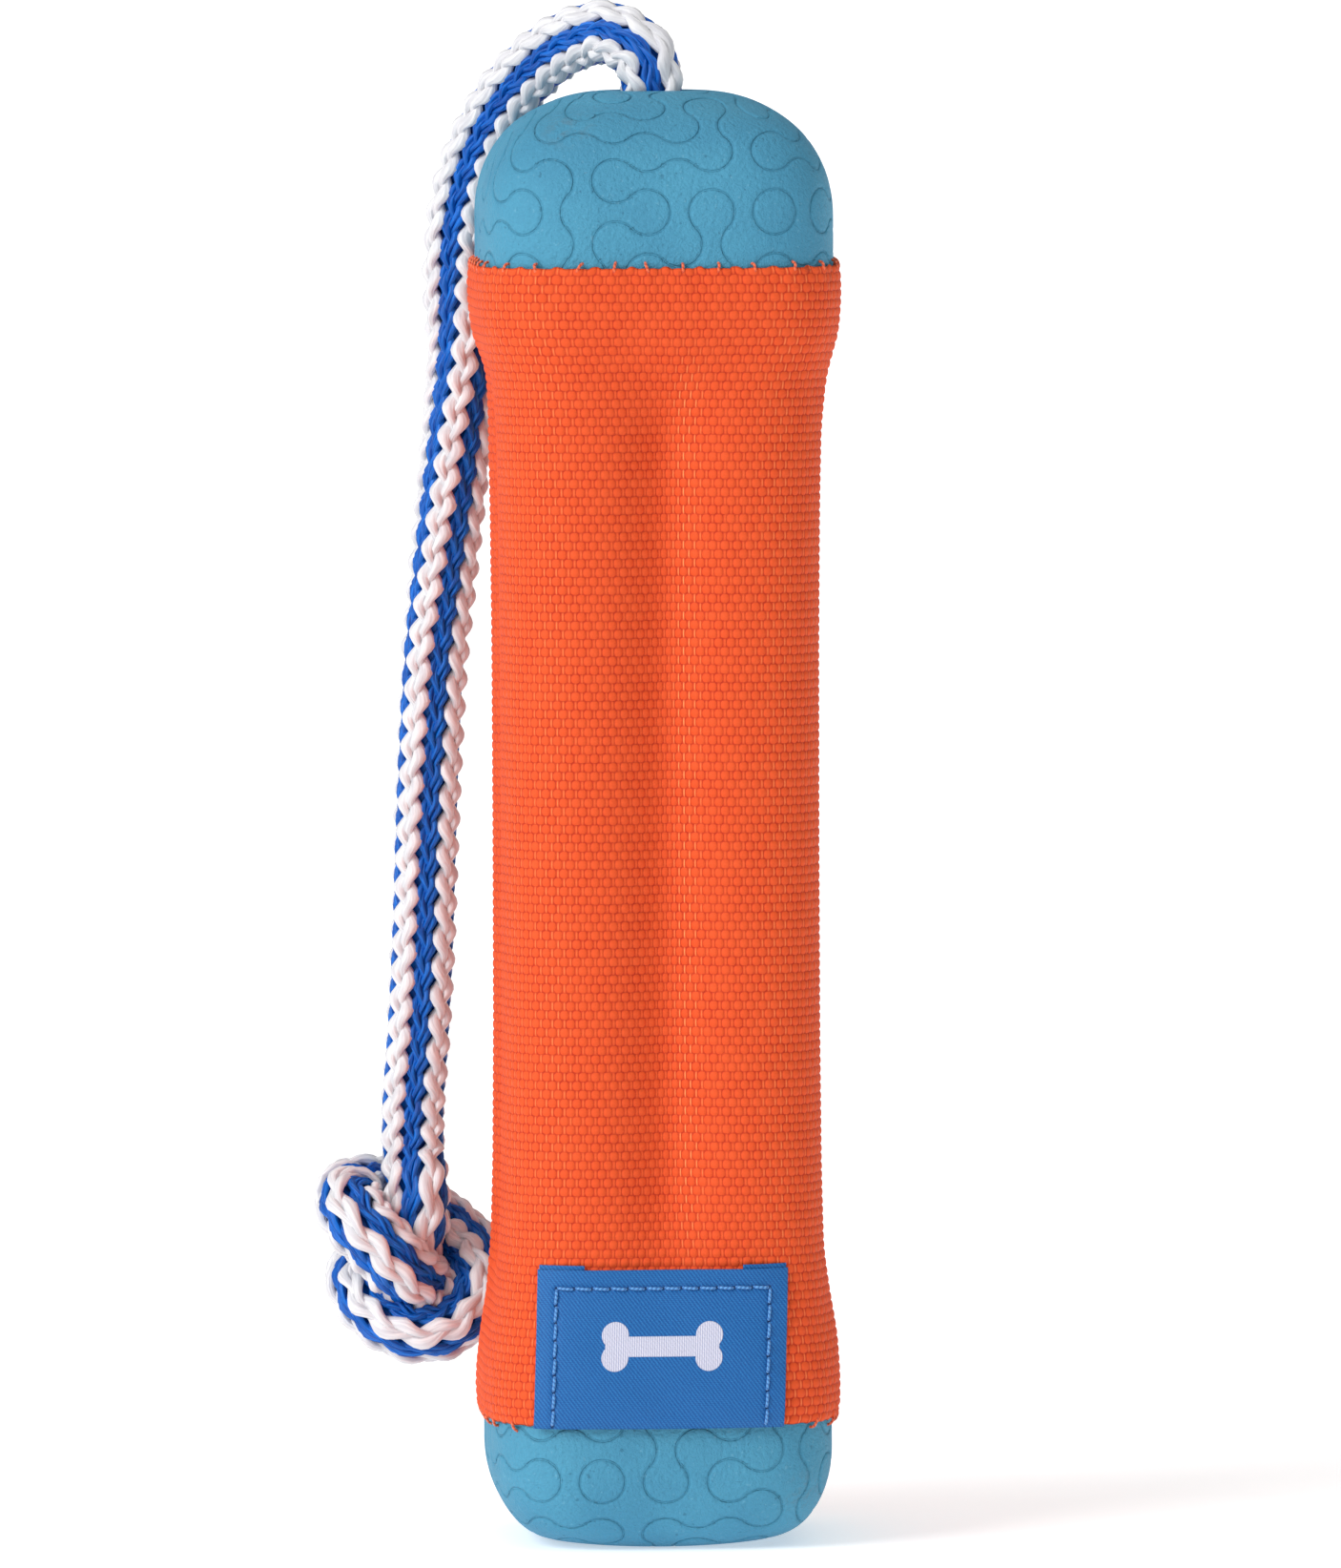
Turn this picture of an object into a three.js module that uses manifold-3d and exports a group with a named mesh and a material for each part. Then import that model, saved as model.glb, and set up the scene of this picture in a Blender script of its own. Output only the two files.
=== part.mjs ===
// Training bumper: a fetch toy with a fluted foam core in a woven sleeve, two moulded end
// caps and a plaited throw rope, knotted inside the top cap and at its free end.
// Millimetres, +Z up. The origin is the centre of the flat foot under the bottom cap, and
// the face that carries the woven label looks along -Y.

import * as THREE from 'three';
import { mergeVertices } from 'three/addons/utils/BufferGeometryUtils.js';
import Module from 'manifold-3d';

const wasm = await Module();
wasm.setup();

// Driving dimensions.
const LENGTH = 254; // foot to crown
const GAP = 0.3; // between pieces that touch
const SIDES = 56; // facets round the body, a multiple of 8

// The body's section is a superellipse. Half widths are measured to its flat faces.
const SQUARENESS = 4; // exponent of a fully squared section
const ROUND_RADIUS = 18; // a section narrower than this is round
const SQUARE_RADIUS = 26; // a section wider than this is fully squared

// Foam core: a squared rod with a flute down the middle of each face.
const CORE_HALF = 26.85;
const CORE_BOTTOM_Z = 14.3;
const CORE_TOP_Z = 228;
const FLUTE_DEPTH = 4;
const FLUTE_WIDTH = 7; // from a flute's centre to where it is a third as deep

// End caps. Each has a socket for the core and a shallow seat for the sleeve's hem.
const TOP_CAP_HALF = 30.8;
const TOP_SKIRT_Z = 211; // lower edge of the top cap
const CROWN_RADIUS = 7.5;
const CROWN_HEIGHT = 22;
const CROWN_POWER = 2.15;
const BOTTOM_CAP_HALF = 30;
const BOTTOM_SKIRT_Z = 37; // upper edge of the bottom cap
const FOOT_RADIUS = 16.8;
const FOOT_HEIGHT = 17;
const FOOT_POWER = 2.05;
const SEAT_DEPTH = 0.6;
const SKIRT_BEVEL = 3;
const SHOULDER_STEPS = 7;

// Throw rope, its bore in the top cap and the pocket that holds its inner knot.
const ROPE_RADIUS = 5.75;
const ROPE_SIDES = 10;
const BORE_RADIUS = ROPE_RADIUS + GAP;
const BORE_LIP = 1; // height of the bevel round the bore's mouth
const POCKET_RADIUS = 17;
const POCKET_BEVEL = 2;
const POCKET_BOTTOM_Z = 212;
const POCKET_TOP_Z = 241;
const ANCHOR_KNOT_SIZE = [15, 13.5, 13.7]; // half extents
const ANCHOR_KNOT_CENTRE = [0, 0, 226.5];
const END_KNOT_SIZE = [15.2, 13.2, 17]; // half extents
const END_KNOT_CENTRE = [-41.6, 33.5, 46];
const KNOT_SIDES = 14;
const KNOT_RINGS = 10;

// The rope's centreline, up out of the bore, over the crown's corner and down beside the
// body to the end knot. It bends about the first point of the hanging route.
const STEM_ROUTE = [
  [0, 0, 240.6], [0, 0, 247], [0, 0, 253], [-0.6, 0.6, 257.4], [-2.2, 2.2, 260.9],
];
const HANGING_ROUTE = [
  [-7, 7, 263.8], [-11.6, 11.6, 263.2], [-16.1, 16.1, 260.8], [-20.3, 20.3, 257],
  [-24.2, 24.2, 252.1], [-27.5, 27.5, 246.2], [-30.1, 30.1, 239.4], [-31.8, 31.8, 232],
  [-32.5, 32.5, 225], [-32.4, 32.4, 218], [-31.9, 31.8, 210], [-32.2, 31.8, 200],
  [-33.3, 32.1, 187], [-35.1, 32.7, 170], [-36.8, 33, 153], [-37.8, 33.2, 136],
  [-38.5, 33.3, 119], [-39.1, 33.4, 102], [-40, 33.4, 86], [-40.9, 33.5, 74],
  [-41.2, 33.5, 63.4],
];
const STEM_STEPS = 8;
const HANGING_STEPS = 30;

// Woven sleeve: [z, half width of its outer face], from the lower hem to the upper one.
const SLEEVE_THICKNESS = 0.9;
const HEM_THICKNESS = 0.3; // at the pulled-in edge of each hem
const SLEEVE_PROFILE = [
  [22.4, 30.6], [23.8, 31.3], [29.5, 31.3], [36, 30.7], [43, 29.6], [52, 28.7], [66, 28.4],
  [90, 28.2], [123, 28.15], [156, 28.2], [180, 28.4], [196, 28.7], [204, 29.2], [208, 30.2],
  [212, 31.5], [217, 32], [222.2, 32], [223.8, 31.4],
];
const LOW_FLUTE_FADE = [40, 68]; // the sleeve's flutes fade out between these heights
const HIGH_FLUTE_FADE = [193, 212];

// Woven label on the front face, just above the lower hem.
const LABEL_WIDTH = 43.6;
const LABEL_HEIGHT = 28.4;
const LABEL_THICKNESS = 0.6;
const LABEL_LIFT = 0.8; // between the sleeve and the label's back
const LABEL_X = -0.8;
const LABEL_BOTTOM_Z = 22.1;
const LABEL_COLUMNS = 12;
const LABEL_ROWS = 6;

// Sewing thread.
const THREAD_RADIUS = 0.3;
const THREAD_SIDES = 6;
const THREAD_LIFT = 0.5; // between a thread and the cloth under it
const LABEL_STITCH = 3.1;
const LABEL_STITCH_ARCH = 0.25;
const LABEL_MARGIN = 3.2; // from the label's edge to its stitching
const SEAM_STEP = 9;
const SEAM_ENDS = [26, 220];
const HEM_STITCHES = 34;
const HEM_BITE = 1.8; // how far a hem stitch reaches down the sleeve
const HEM_REACH = 1; // how far it reaches on to the cap
const TURN = Math.PI * 2;
const BACK = TURN / 4; // direction of the sleeve's seam
const LABEL_RIGHT_SIDE = (-50 / 360) * TURN; // where the lower hem's thread starts
const LABEL_TURN = (82 / 360) * TURN; // what the label takes out of the lower hem's thread

// Plain materials, none of them metal.
const CAP_RUBBER = { color: 0x5fb3c9, roughness: 0.75 };
const CORE_FOAM = { color: 0xd9d6cc, roughness: 0.9 };
const SLEEVE_CLOTH = { color: 0xf4602b, roughness: 0.8 };
const SLEEVE_THREAD = { color: 0xf4602b, roughness: 0.7 };
const LABEL_SATIN = { color: 0x2770b8, roughness: 0.6 };
const LABEL_THREAD = { color: 0x4f9ad6, roughness: 0.6 };
const ROPE_CORD = { color: 0xe9e9ee, roughness: 0.8 };

/** How squared a section is, from 0 (round) to 1. */
function squared(half) {
  return THREE.MathUtils.smoothstep(half, ROUND_RADIUS, SQUARE_RADIUS);
}

/** A point of a body outline of this half width, with flutes of this depth. */
function outlinePoint(half, angle, flute, z) {
  const exponent = 2 + (SQUARENESS - 2) * squared(half);
  const across = Math.abs(Math.cos(angle)) ** exponent;
  const along = Math.abs(Math.sin(angle)) ** exponent;
  const radius = half / (across + along) ** (1 / exponent);
  const quarter = TURN / 4;
  const fromFace = angle - Math.round(angle / quarter) * quarter;
  const offset = (radius * Math.sin(fromFace)) / FLUTE_WIDTH;
  const reach = radius - flute * squared(half) * Math.exp(-offset * offset);
  return new THREE.Vector3(reach * Math.cos(angle), reach * Math.sin(angle), z);
}

/**
 * A turned profile of [radius, z] points, stood upright and squared off. The profile runs up
 * the outside, and `fluteAt` gives the depth of the flutes at a height.
 */
function squaredLathe(profile, fluteAt = () => 0) {
  const outline = profile.map(([radius, z]) => new THREE.Vector2(radius, z));
  const geometry = new THREE.LatheGeometry(outline, SIDES);
  geometry.rotateX(TURN / 4);
  const positions = geometry.attributes.position;
  for (let i = 0; i < positions.count; i += 1) {
    const half = Math.hypot(positions.getX(i), positions.getY(i));
    const angle = Math.atan2(positions.getY(i), positions.getX(i));
    const z = positions.getZ(i);
    const point = outlinePoint(half, angle, fluteAt(z), z);
    positions.setXYZ(i, point.x, point.y, z);
  }
  return geometry;
}

/** Profile points of a rounded shoulder, from the side at `z` to the flat crown or foot. */
function shoulder(half, flatRadius, z, rise, power) {
  const points = [];
  for (let step = 0; step <= SHOULDER_STEPS; step += 1) {
    const turn = ((step / SHOULDER_STEPS) * TURN) / 4;
    const across = Math.cos(turn) ** (2 / power);
    const up = Math.sin(turn) ** (2 / power);
    points.push([flatRadius + (half - flatRadius) * across, z + rise * up]);
  }
  return points;
}

/** A tube of regular section along a curve. */
function tube(path, radius, sides, steps) {
  const corners = [];
  for (let side = 0; side < sides; side += 1) {
    const angle = (side / sides) * TURN;
    corners.push(new THREE.Vector2(radius * Math.cos(angle), radius * Math.sin(angle)));
  }
  return new THREE.ExtrudeGeometry(new THREE.Shape(corners), {
    steps,
    extrudePath: path,
    bevelEnabled: false,
  });
}

/** A path of straight runs between points, with one extrusion step to each run. */
class Waypoints extends THREE.Curve {
  constructor(points) {
    super();
    this.points = points;
  }

  getPoint(t, target = new THREE.Vector3()) {
    const place = t * (this.points.length - 1);
    const run = Math.min(Math.floor(place), this.points.length - 2);
    return target.lerpVectors(this.points[run], this.points[run + 1], place - run);
  }

  getPointAt(t, target) {
    return this.getPoint(t, target);
  }

  getTangentAt(t, target) {
    return this.getTangent(t, target);
  }
}

/** A sewing thread through its stitch points. */
function thread(points) {
  return tube(new Waypoints(points), THREAD_RADIUS, THREAD_SIDES, points.length - 1);
}

/** A geometry as a closed solid, for joining. */
function solid(geometry) {
  const bare = geometry.clone();
  bare.deleteAttribute('normal');
  bare.deleteAttribute('uv');
  const merged = mergeVertices(bare);
  return new wasm.Manifold(new wasm.Mesh({
    numProp: 3,
    vertProperties: new Float32Array(merged.attributes.position.array),
    triVerts: new Uint32Array(merged.index.array),
  }));
}

/** Two closed geometries joined into one. */
function joined(first, second) {
  const mesh = solid(first).add(solid(second)).getMesh();
  const geometry = new THREE.BufferGeometry();
  geometry.setAttribute('position', new THREE.BufferAttribute(mesh.vertProperties, 3));
  geometry.setIndex(new THREE.BufferAttribute(mesh.triVerts, 1));
  geometry.computeVertexNormals();
  return geometry;
}

// End caps: a skirt over the core's end, a rounded shoulder, and the crown or the foot.

function topEndCap() {
  const socketHalf = CORE_HALF + GAP;
  const seatHalf = TOP_CAP_HALF - SEAT_DEPTH;
  const ceiling = CORE_TOP_Z + GAP;
  const shoulderZ = LENGTH - CROWN_HEIGHT;
  const crown = shoulder(TOP_CAP_HALF, CROWN_RADIUS, shoulderZ, CROWN_HEIGHT, CROWN_POWER);
  return squaredLathe([
    [socketHalf, TOP_SKIRT_Z],
    [seatHalf - SKIRT_BEVEL / 2, TOP_SKIRT_Z],
    [seatHalf, TOP_SKIRT_Z + SKIRT_BEVEL],
    [seatHalf, hemTopZ() - 2 * SEAT_DEPTH],
    [TOP_CAP_HALF, hemTopZ() - SEAT_DEPTH],
    ...crown,
    [BORE_RADIUS, LENGTH - BORE_LIP],
    [BORE_RADIUS, POCKET_TOP_Z],
    [POCKET_RADIUS - POCKET_BEVEL, POCKET_TOP_Z],
    [POCKET_RADIUS, POCKET_TOP_Z - POCKET_BEVEL],
    [POCKET_RADIUS, ceiling],
    [socketHalf, ceiling],
    [socketHalf, TOP_SKIRT_Z],
  ]);
}

function bottomEndCap() {
  const socketHalf = CORE_HALF + GAP;
  const seatHalf = BOTTOM_CAP_HALF - SEAT_DEPTH;
  const floor = CORE_BOTTOM_Z - GAP;
  const foot = shoulder(BOTTOM_CAP_HALF, FOOT_RADIUS, FOOT_HEIGHT, -FOOT_HEIGHT, FOOT_POWER);
  return squaredLathe([
    [0, 0],
    ...foot.reverse(),
    [BOTTOM_CAP_HALF, hemBottomZ() + SEAT_DEPTH],
    [seatHalf, hemBottomZ() + 2 * SEAT_DEPTH],
    [seatHalf, BOTTOM_SKIRT_Z - SKIRT_BEVEL],
    [seatHalf - SKIRT_BEVEL / 2, BOTTOM_SKIRT_Z],
    [socketHalf, BOTTOM_SKIRT_Z],
    [socketHalf, floor],
    [0, floor],
  ]);
}

// Foam core, with a round recess in its top for the lower half of the anchor knot.

function foamCore() {
  return squaredLathe([
    [0, CORE_BOTTOM_Z],
    [CORE_HALF, CORE_BOTTOM_Z],
    [CORE_HALF, CORE_TOP_Z],
    [POCKET_RADIUS, CORE_TOP_Z],
    [POCKET_RADIUS, POCKET_BOTTOM_Z],
    [0, POCKET_BOTTOM_Z],
  ], () => FLUTE_DEPTH);
}

// Woven sleeve, drawn in over both skirts and sunk a little into the core's flutes.

function hemBottomZ() {
  return SLEEVE_PROFILE[0][0];
}

function hemTopZ() {
  return SLEEVE_PROFILE.at(-1)[0];
}

/** Half width of the sleeve's outer face at a height. */
function sleeveHalf(z) {
  const above = SLEEVE_PROFILE.findIndex(([height]) => height >= z);
  const next = Math.max(above, 1);
  const [lowZ, lowHalf] = SLEEVE_PROFILE[next - 1];
  const [highZ, highHalf] = SLEEVE_PROFILE[next];
  return THREE.MathUtils.mapLinear(z, lowZ, highZ, lowHalf, highHalf);
}

/** Depth of the sleeve's flutes at a height. */
function sleeveFlute(z) {
  const low = THREE.MathUtils.smoothstep(z, ...LOW_FLUTE_FADE);
  const high = 1 - THREE.MathUtils.smoothstep(z, ...HIGH_FLUTE_FADE);
  return FLUTE_DEPTH * low * high;
}

function fabricSleeve() {
  const outer = SLEEVE_PROFILE.map(([z, half]) => [half, z]);
  const inner = SLEEVE_PROFILE.map(([z, half]) => {
    const atHem = z === hemBottomZ() || z === hemTopZ();
    return [half - (atHem ? HEM_THICKNESS : SLEEVE_THICKNESS), z];
  });
  return squaredLathe([...outer, ...inner.reverse(), outer[0]], sleeveFlute);
}

// Woven label, a thin sheet that follows the sleeve's front face.

/** A point at `lift` in front of the sleeve's front face. */
function frontPoint(x, z, lift) {
  const half = sleeveHalf(z);
  const depth = half * (1 - Math.abs(x / half) ** SQUARENESS) ** (1 / SQUARENESS);
  return new THREE.Vector3(x, -depth - lift, z);
}

function wovenLabel() {
  const geometry = new THREE.BoxGeometry(
    LABEL_WIDTH, LABEL_THICKNESS, LABEL_HEIGHT, LABEL_COLUMNS, 1, LABEL_ROWS,
  );
  geometry.translate(LABEL_X, 0, LABEL_BOTTOM_Z + LABEL_HEIGHT / 2);
  const positions = geometry.attributes.position;
  for (let i = 0; i < positions.count; i += 1) {
    const lift = LABEL_LIFT + LABEL_THICKNESS / 2 - positions.getY(i);
    const point = frontPoint(positions.getX(i), positions.getZ(i), lift);
    positions.setY(i, point.y);
  }
  return geometry;
}

// Sewing thread: each is one continuous body of the runs that lie outside the cloth.

/** Stitch points up one side of the label, across its top and down its other side. */
function labelThread() {
  const left = LABEL_X - LABEL_WIDTH / 2 + LABEL_MARGIN;
  const right = LABEL_X + LABEL_WIDTH / 2 - LABEL_MARGIN;
  const low = LABEL_BOTTOM_Z + LABEL_STITCH / 2;
  const high = LABEL_BOTTOM_Z + LABEL_HEIGHT - LABEL_MARGIN;
  const corners = [[left, low], [left, high], [right, high], [right, low]];
  const lift = LABEL_LIFT + LABEL_THICKNESS + THREAD_LIFT;
  const points = [];
  for (let side = 0; side < corners.length - 1; side += 1) {
    const [startX, startZ] = corners[side];
    const [endX, endZ] = corners[side + 1];
    const length = Math.hypot(endX - startX, endZ - startZ);
    const halves = 2 * Math.round(length / LABEL_STITCH);
    for (let half = side === 0 ? 0 : 1; half <= halves; half += 1) {
      const x = THREE.MathUtils.lerp(startX, endX, half / halves);
      const z = THREE.MathUtils.lerp(startZ, endZ, half / halves);
      points.push(frontPoint(x, z, lift + (half % 2) * LABEL_STITCH_ARCH));
    }
  }
  return thread(points);
}

/** Whip stitches through `turn` of a hem, from the sleeve at `sleeveZ` to the cap at `capZ`. */
function hemThread(sleeveZ, capHalf, capZ, start, turn) {
  const off = THREAD_RADIUS + THREAD_LIFT;
  const halves = 2 * Math.round((HEM_STITCHES * turn) / TURN);
  const points = [];
  for (let half = 0; half < halves; half += 1) {
    const angle = start + ((half + 0.5) / halves) * turn;
    const onSleeve = half % 2 === 0;
    const faceHalf = onSleeve ? sleeveHalf(sleeveZ) : capHalf;
    points.push(outlinePoint(faceHalf + off, angle, 0, onSleeve ? sleeveZ : capZ));
  }
  return thread(points);
}

function topHemThread() {
  const z = hemTopZ();
  return hemThread(z - HEM_BITE, TOP_CAP_HALF, z + HEM_REACH, BACK, TURN);
}

/** The lower hem's stitches stop at the sides of the label, which covers the hem's front. */
function bottomHemThread() {
  const z = hemBottomZ();
  const turn = TURN - LABEL_TURN;
  return hemThread(z + HEM_BITE, BOTTOM_CAP_HALF, z - HEM_REACH, LABEL_RIGHT_SIDE, turn);
}

/** The line of stitches that closes the sleeve, down its back flute. */
function seamThread() {
  const [low, high] = SEAM_ENDS;
  const steps = Math.round((high - low) / SEAM_STEP);
  const points = [];
  for (let step = 0; step <= steps; step += 1) {
    const z = THREE.MathUtils.lerp(low, high, step / steps);
    const half = sleeveHalf(z) + THREAD_RADIUS + THREAD_LIFT;
    points.push(outlinePoint(half, BACK, sleeveFlute(z), z));
  }
  return thread(points);
}

// Throw rope and its knots.

function ropeTube(route, steps) {
  const points = route.map((place) => new THREE.Vector3(...place));
  return tube(new THREE.CatmullRomCurve3(points), ROPE_RADIUS, ROPE_SIDES, steps);
}

/** The hanging stretch, with a ball at its upper end to turn against the stem. */
function hangingRope() {
  const ball = new THREE.SphereGeometry(ROPE_RADIUS, ROPE_SIDES, ROPE_SIDES / 2);
  ball.translate(...HANGING_ROUTE[0]);
  return joined(ropeTube(HANGING_ROUTE, HANGING_STEPS), ball);
}

function knot(size, centre) {
  const geometry = new THREE.SphereGeometry(1, KNOT_SIDES, KNOT_RINGS);
  geometry.rotateX(TURN / 4);
  geometry.scale(...size);
  geometry.translate(...centre);
  return geometry;
}

/** A named piece with a plain material of this colour and roughness. */
function piece(name, geometry, finish) {
  const material = new THREE.MeshStandardMaterial({ ...finish, metalness: 0 });
  const mesh = new THREE.Mesh(geometry, material);
  mesh.name = name;
  return mesh;
}

const body = new THREE.Group();
body.add(
  piece('top_end_cap', topEndCap(), CAP_RUBBER),
  piece('bottom_end_cap', bottomEndCap(), CAP_RUBBER),
  piece('foam_core', foamCore(), CORE_FOAM),
  piece('fabric_sleeve', fabricSleeve(), SLEEVE_CLOTH),
  piece('woven_label', wovenLabel(), LABEL_SATIN),
  piece('label_thread', labelThread(), LABEL_THREAD),
  piece('top_hem_thread', topHemThread(), SLEEVE_THREAD),
  piece('bottom_hem_thread', bottomHemThread(), SLEEVE_THREAD),
  piece('back_seam_thread', seamThread(), SLEEVE_THREAD),
);

const rope = new THREE.Group();
rope.add(
  piece('anchor_knot', knot(ANCHOR_KNOT_SIZE, ANCHOR_KNOT_CENTRE), ROPE_CORD),
  piece('rope_stem', ropeTube(STEM_ROUTE, STEM_STEPS), ROPE_CORD),
  piece('throw_rope', hangingRope(), ROPE_CORD),
  piece('end_knot', knot(END_KNOT_SIZE, END_KNOT_CENTRE), ROPE_CORD),
);

const bumper = new THREE.Group();
bumper.add(body, rope);

export default bumper;
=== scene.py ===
import itertools
import math

import bpy
import numpy as np
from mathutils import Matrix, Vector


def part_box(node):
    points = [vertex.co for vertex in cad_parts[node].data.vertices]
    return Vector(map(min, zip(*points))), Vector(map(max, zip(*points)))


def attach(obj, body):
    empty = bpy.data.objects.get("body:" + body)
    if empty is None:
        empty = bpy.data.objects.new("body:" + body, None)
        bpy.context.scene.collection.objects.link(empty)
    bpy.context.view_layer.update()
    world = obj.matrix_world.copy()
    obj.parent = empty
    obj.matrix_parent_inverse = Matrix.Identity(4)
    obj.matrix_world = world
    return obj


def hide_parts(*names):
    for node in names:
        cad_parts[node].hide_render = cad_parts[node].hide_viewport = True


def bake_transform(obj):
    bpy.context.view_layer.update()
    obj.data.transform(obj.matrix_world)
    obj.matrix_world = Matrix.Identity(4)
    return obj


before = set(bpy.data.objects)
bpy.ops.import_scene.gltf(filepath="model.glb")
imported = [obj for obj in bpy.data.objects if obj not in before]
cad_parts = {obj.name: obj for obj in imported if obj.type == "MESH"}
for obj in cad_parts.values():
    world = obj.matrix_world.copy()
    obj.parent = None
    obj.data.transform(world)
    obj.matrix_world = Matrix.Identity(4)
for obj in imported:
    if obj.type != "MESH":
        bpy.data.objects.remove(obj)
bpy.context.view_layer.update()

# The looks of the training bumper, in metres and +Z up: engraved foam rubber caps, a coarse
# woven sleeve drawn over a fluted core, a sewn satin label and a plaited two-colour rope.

MM = 0.001
TURN = 2 * math.pi

# The body's section is a superellipse with a flute down each face, as in the CAD model.
SQUARENESS = 4
ROUND_RADIUS = 18 * MM
SQUARE_RADIUS = 26 * MM
FLUTE_DEPTH = 4 * MM
FLUTE_WIDTH = 7 * MM
LOW_FLUTE_FADE = (40 * MM, 68 * MM)
HIGH_FLUTE_FADE = (193 * MM, 212 * MM)

# Foam core.
CORE_HALF = 26.85 * MM
CORE_BOTTOM_Z = 14.3 * MM
CORE_TOP_Z = 228 * MM
CORE_EDGE = 1 * MM  # the bevel round its ends
CORE_AXIS = 0.1 * MM  # radius of its innermost rings
CORE_COLUMNS = 128
PIT_DEPTH = 0.12 * MM
PITS_PER_METRE = 3000
POCKET_RADIUS = 17 * MM
POCKET_BOTTOM_Z = 212 * MM
POCKET_TOP_Z = 241 * MM

# End caps.
LENGTH = 254 * MM
CORE_GAP = 0.3 * MM  # between a cap and the core
SOCKET_HALF = CORE_HALF + CORE_GAP
BORE_RADIUS = 6.05 * MM
BORE_LIP = np.array([[0.5, -0.2], [0, -1]]) * MM  # its edge, from its wall at the crown
POCKET_BEVEL = 2 * MM
SKIRT_BEVEL = 1.5 * MM  # in from the side of a skirt, and twice that along it
CAP_AXIS = 0.2 * MM  # radius of the bottom cap's innermost rings
TOP_CAP_HALF = 30.8 * MM
TOP_SKIRT_Z = 211 * MM
CROWN_RADIUS = 7.5 * MM
CROWN_HEIGHT = 22 * MM
CROWN_POWER = 2.15
BOTTOM_CAP_HALF = 30 * MM
BOTTOM_SKIRT_Z = 37 * MM
FOOT_RADIUS = 16.8 * MM
FOOT_HEIGHT = 17 * MM
FOOT_POWER = 2.05
SEAT_DEPTH = 0.6 * MM
CAP_COLUMNS = 640
CAP_GRID = 0.335 * MM
TILE = 7.9 * MM  # the side of a tile of the engraved meander
GROOVE_DEPTH = 0.27 * MM
GROOVE_WIDTH = 0.25 * MM
GROOVE_START = 1.5 * MM  # from the hem
GROOVE_END = (9 * MM, 12 * MM)  # radius on the crown and the foot
TOP_SCUFFS = [((-0.016, -0.022, 0.2475), 0.006)]  # [place, reach]
BOTTOM_SCUFFS = [((0.024, -0.025, 0.010), 0.005)]

# Sleeve: [height, half width of its outer face], from the lower hem to the upper one.
SLEEVE_PROFILE = np.array([
    [22.4, 30.6], [23.8, 31.3], [29.5, 31.3], [36, 30.7], [43, 29.6], [52, 28.7], [66, 28.4],
    [90, 28.2], [123, 28.15], [156, 28.2], [180, 28.4], [196, 28.7], [204, 29.2], [208, 30.2],
    [212, 31.5], [217, 32], [222.2, 32], [223.8, 31.4],
]) * MM
HEM_LOW_Z, HEM_HIGH_Z = SLEEVE_PROFILE[0, 0], SLEEVE_PROFILE[-1, 0]
WAIST_Z = 100 * MM
HEM_FOLD = ((0.45, 1.0), (0.5, 2.6), (0.3, 5.0))  # millimetres in from the cloth, and from the hem
HEM_STITCHES = 34
HEM_PUCKER = 0.22 * MM
HEM_PULL = (0.3 * MM, 0.45 * MM)  # of a stitch on the low hem and the high hem
HEM_PULL_REACH = 1.6 * MM
CLOTH_DRAPE = 0.16 * MM
# Height band where the painted thread highlight fades out below the upper hem.
HIGH_HIGHLIGHT_FADE = (200 * MM, 214 * MM)
SEAM_WIDTH = 5.6 * MM  # of the felled seam down the middle of the back
SEAM_LIFT = 0.7 * MM
SEAM_ROWS = (1.5 * MM, 4.3 * MM)  # its rows of stitches, from the seam's edge
YARN_PITCH = 1.04 * MM  # from one upright yarn to the next
PICK_PITCH = 1.54 * MM  # from one row of the weave to the next
YARN_HEIGHT = 0.30 * MM
BEAD_WIDTH, BEAD_LENGTH = 0.75, 0.80  # half sizes of a bead of the weave, in millimetres
BEAD_POWER = 2.7
BEAD_ROUNDING = 0.7
UNDER_HEIGHT = 0.48  # of the yarn seen between two beads, next to theirs
UNDER_SHOWS = (0.68, 0.95)  # millimetres from a bead's middle
UNDER_FALL = 0.9  # how far it falls towards the next row

# Label.
LABEL_WIDTH = 43.6 * MM
LABEL_HEIGHT = 27.6 * MM
LABEL_X = -0.8 * MM
LABEL_BOTTOM_Z = 22.1 * MM
LABEL_LEAN = 0.036  # how far its sides lean over, for each metre up
LABEL_MARGIN = 3.2 * MM
LABEL_THICKNESS = 0.34 * MM
LABEL_GRID = 0.24 * MM
LABEL_LIFT = 0.62 * MM  # of its back off the sleeve
FLAP_LIFT = 0.2 * MM  # of the folded corners under it
FLAP_WIDTH = 8 * MM
FLAP_INSET = 0.3 * MM
FLAP_BELOW, FLAP_ABOVE = 3 * MM, 0.75 * MM  # of the label's top edge
LABEL_PUCKER = 0.154 * MM
HOLE_DEPTH = 0.25 * MM
HOLE_RADIUS = 0.42 * MM
LABEL_RIPPLE = 0.10 * MM
LABEL_CURL = 0.22 * MM
LABEL_RIGHT_SIDE = -50 / 360 * TURN  # the lower hem's stitches run from here, round the back
LABEL_TURN = 82 / 360 * TURN

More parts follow.
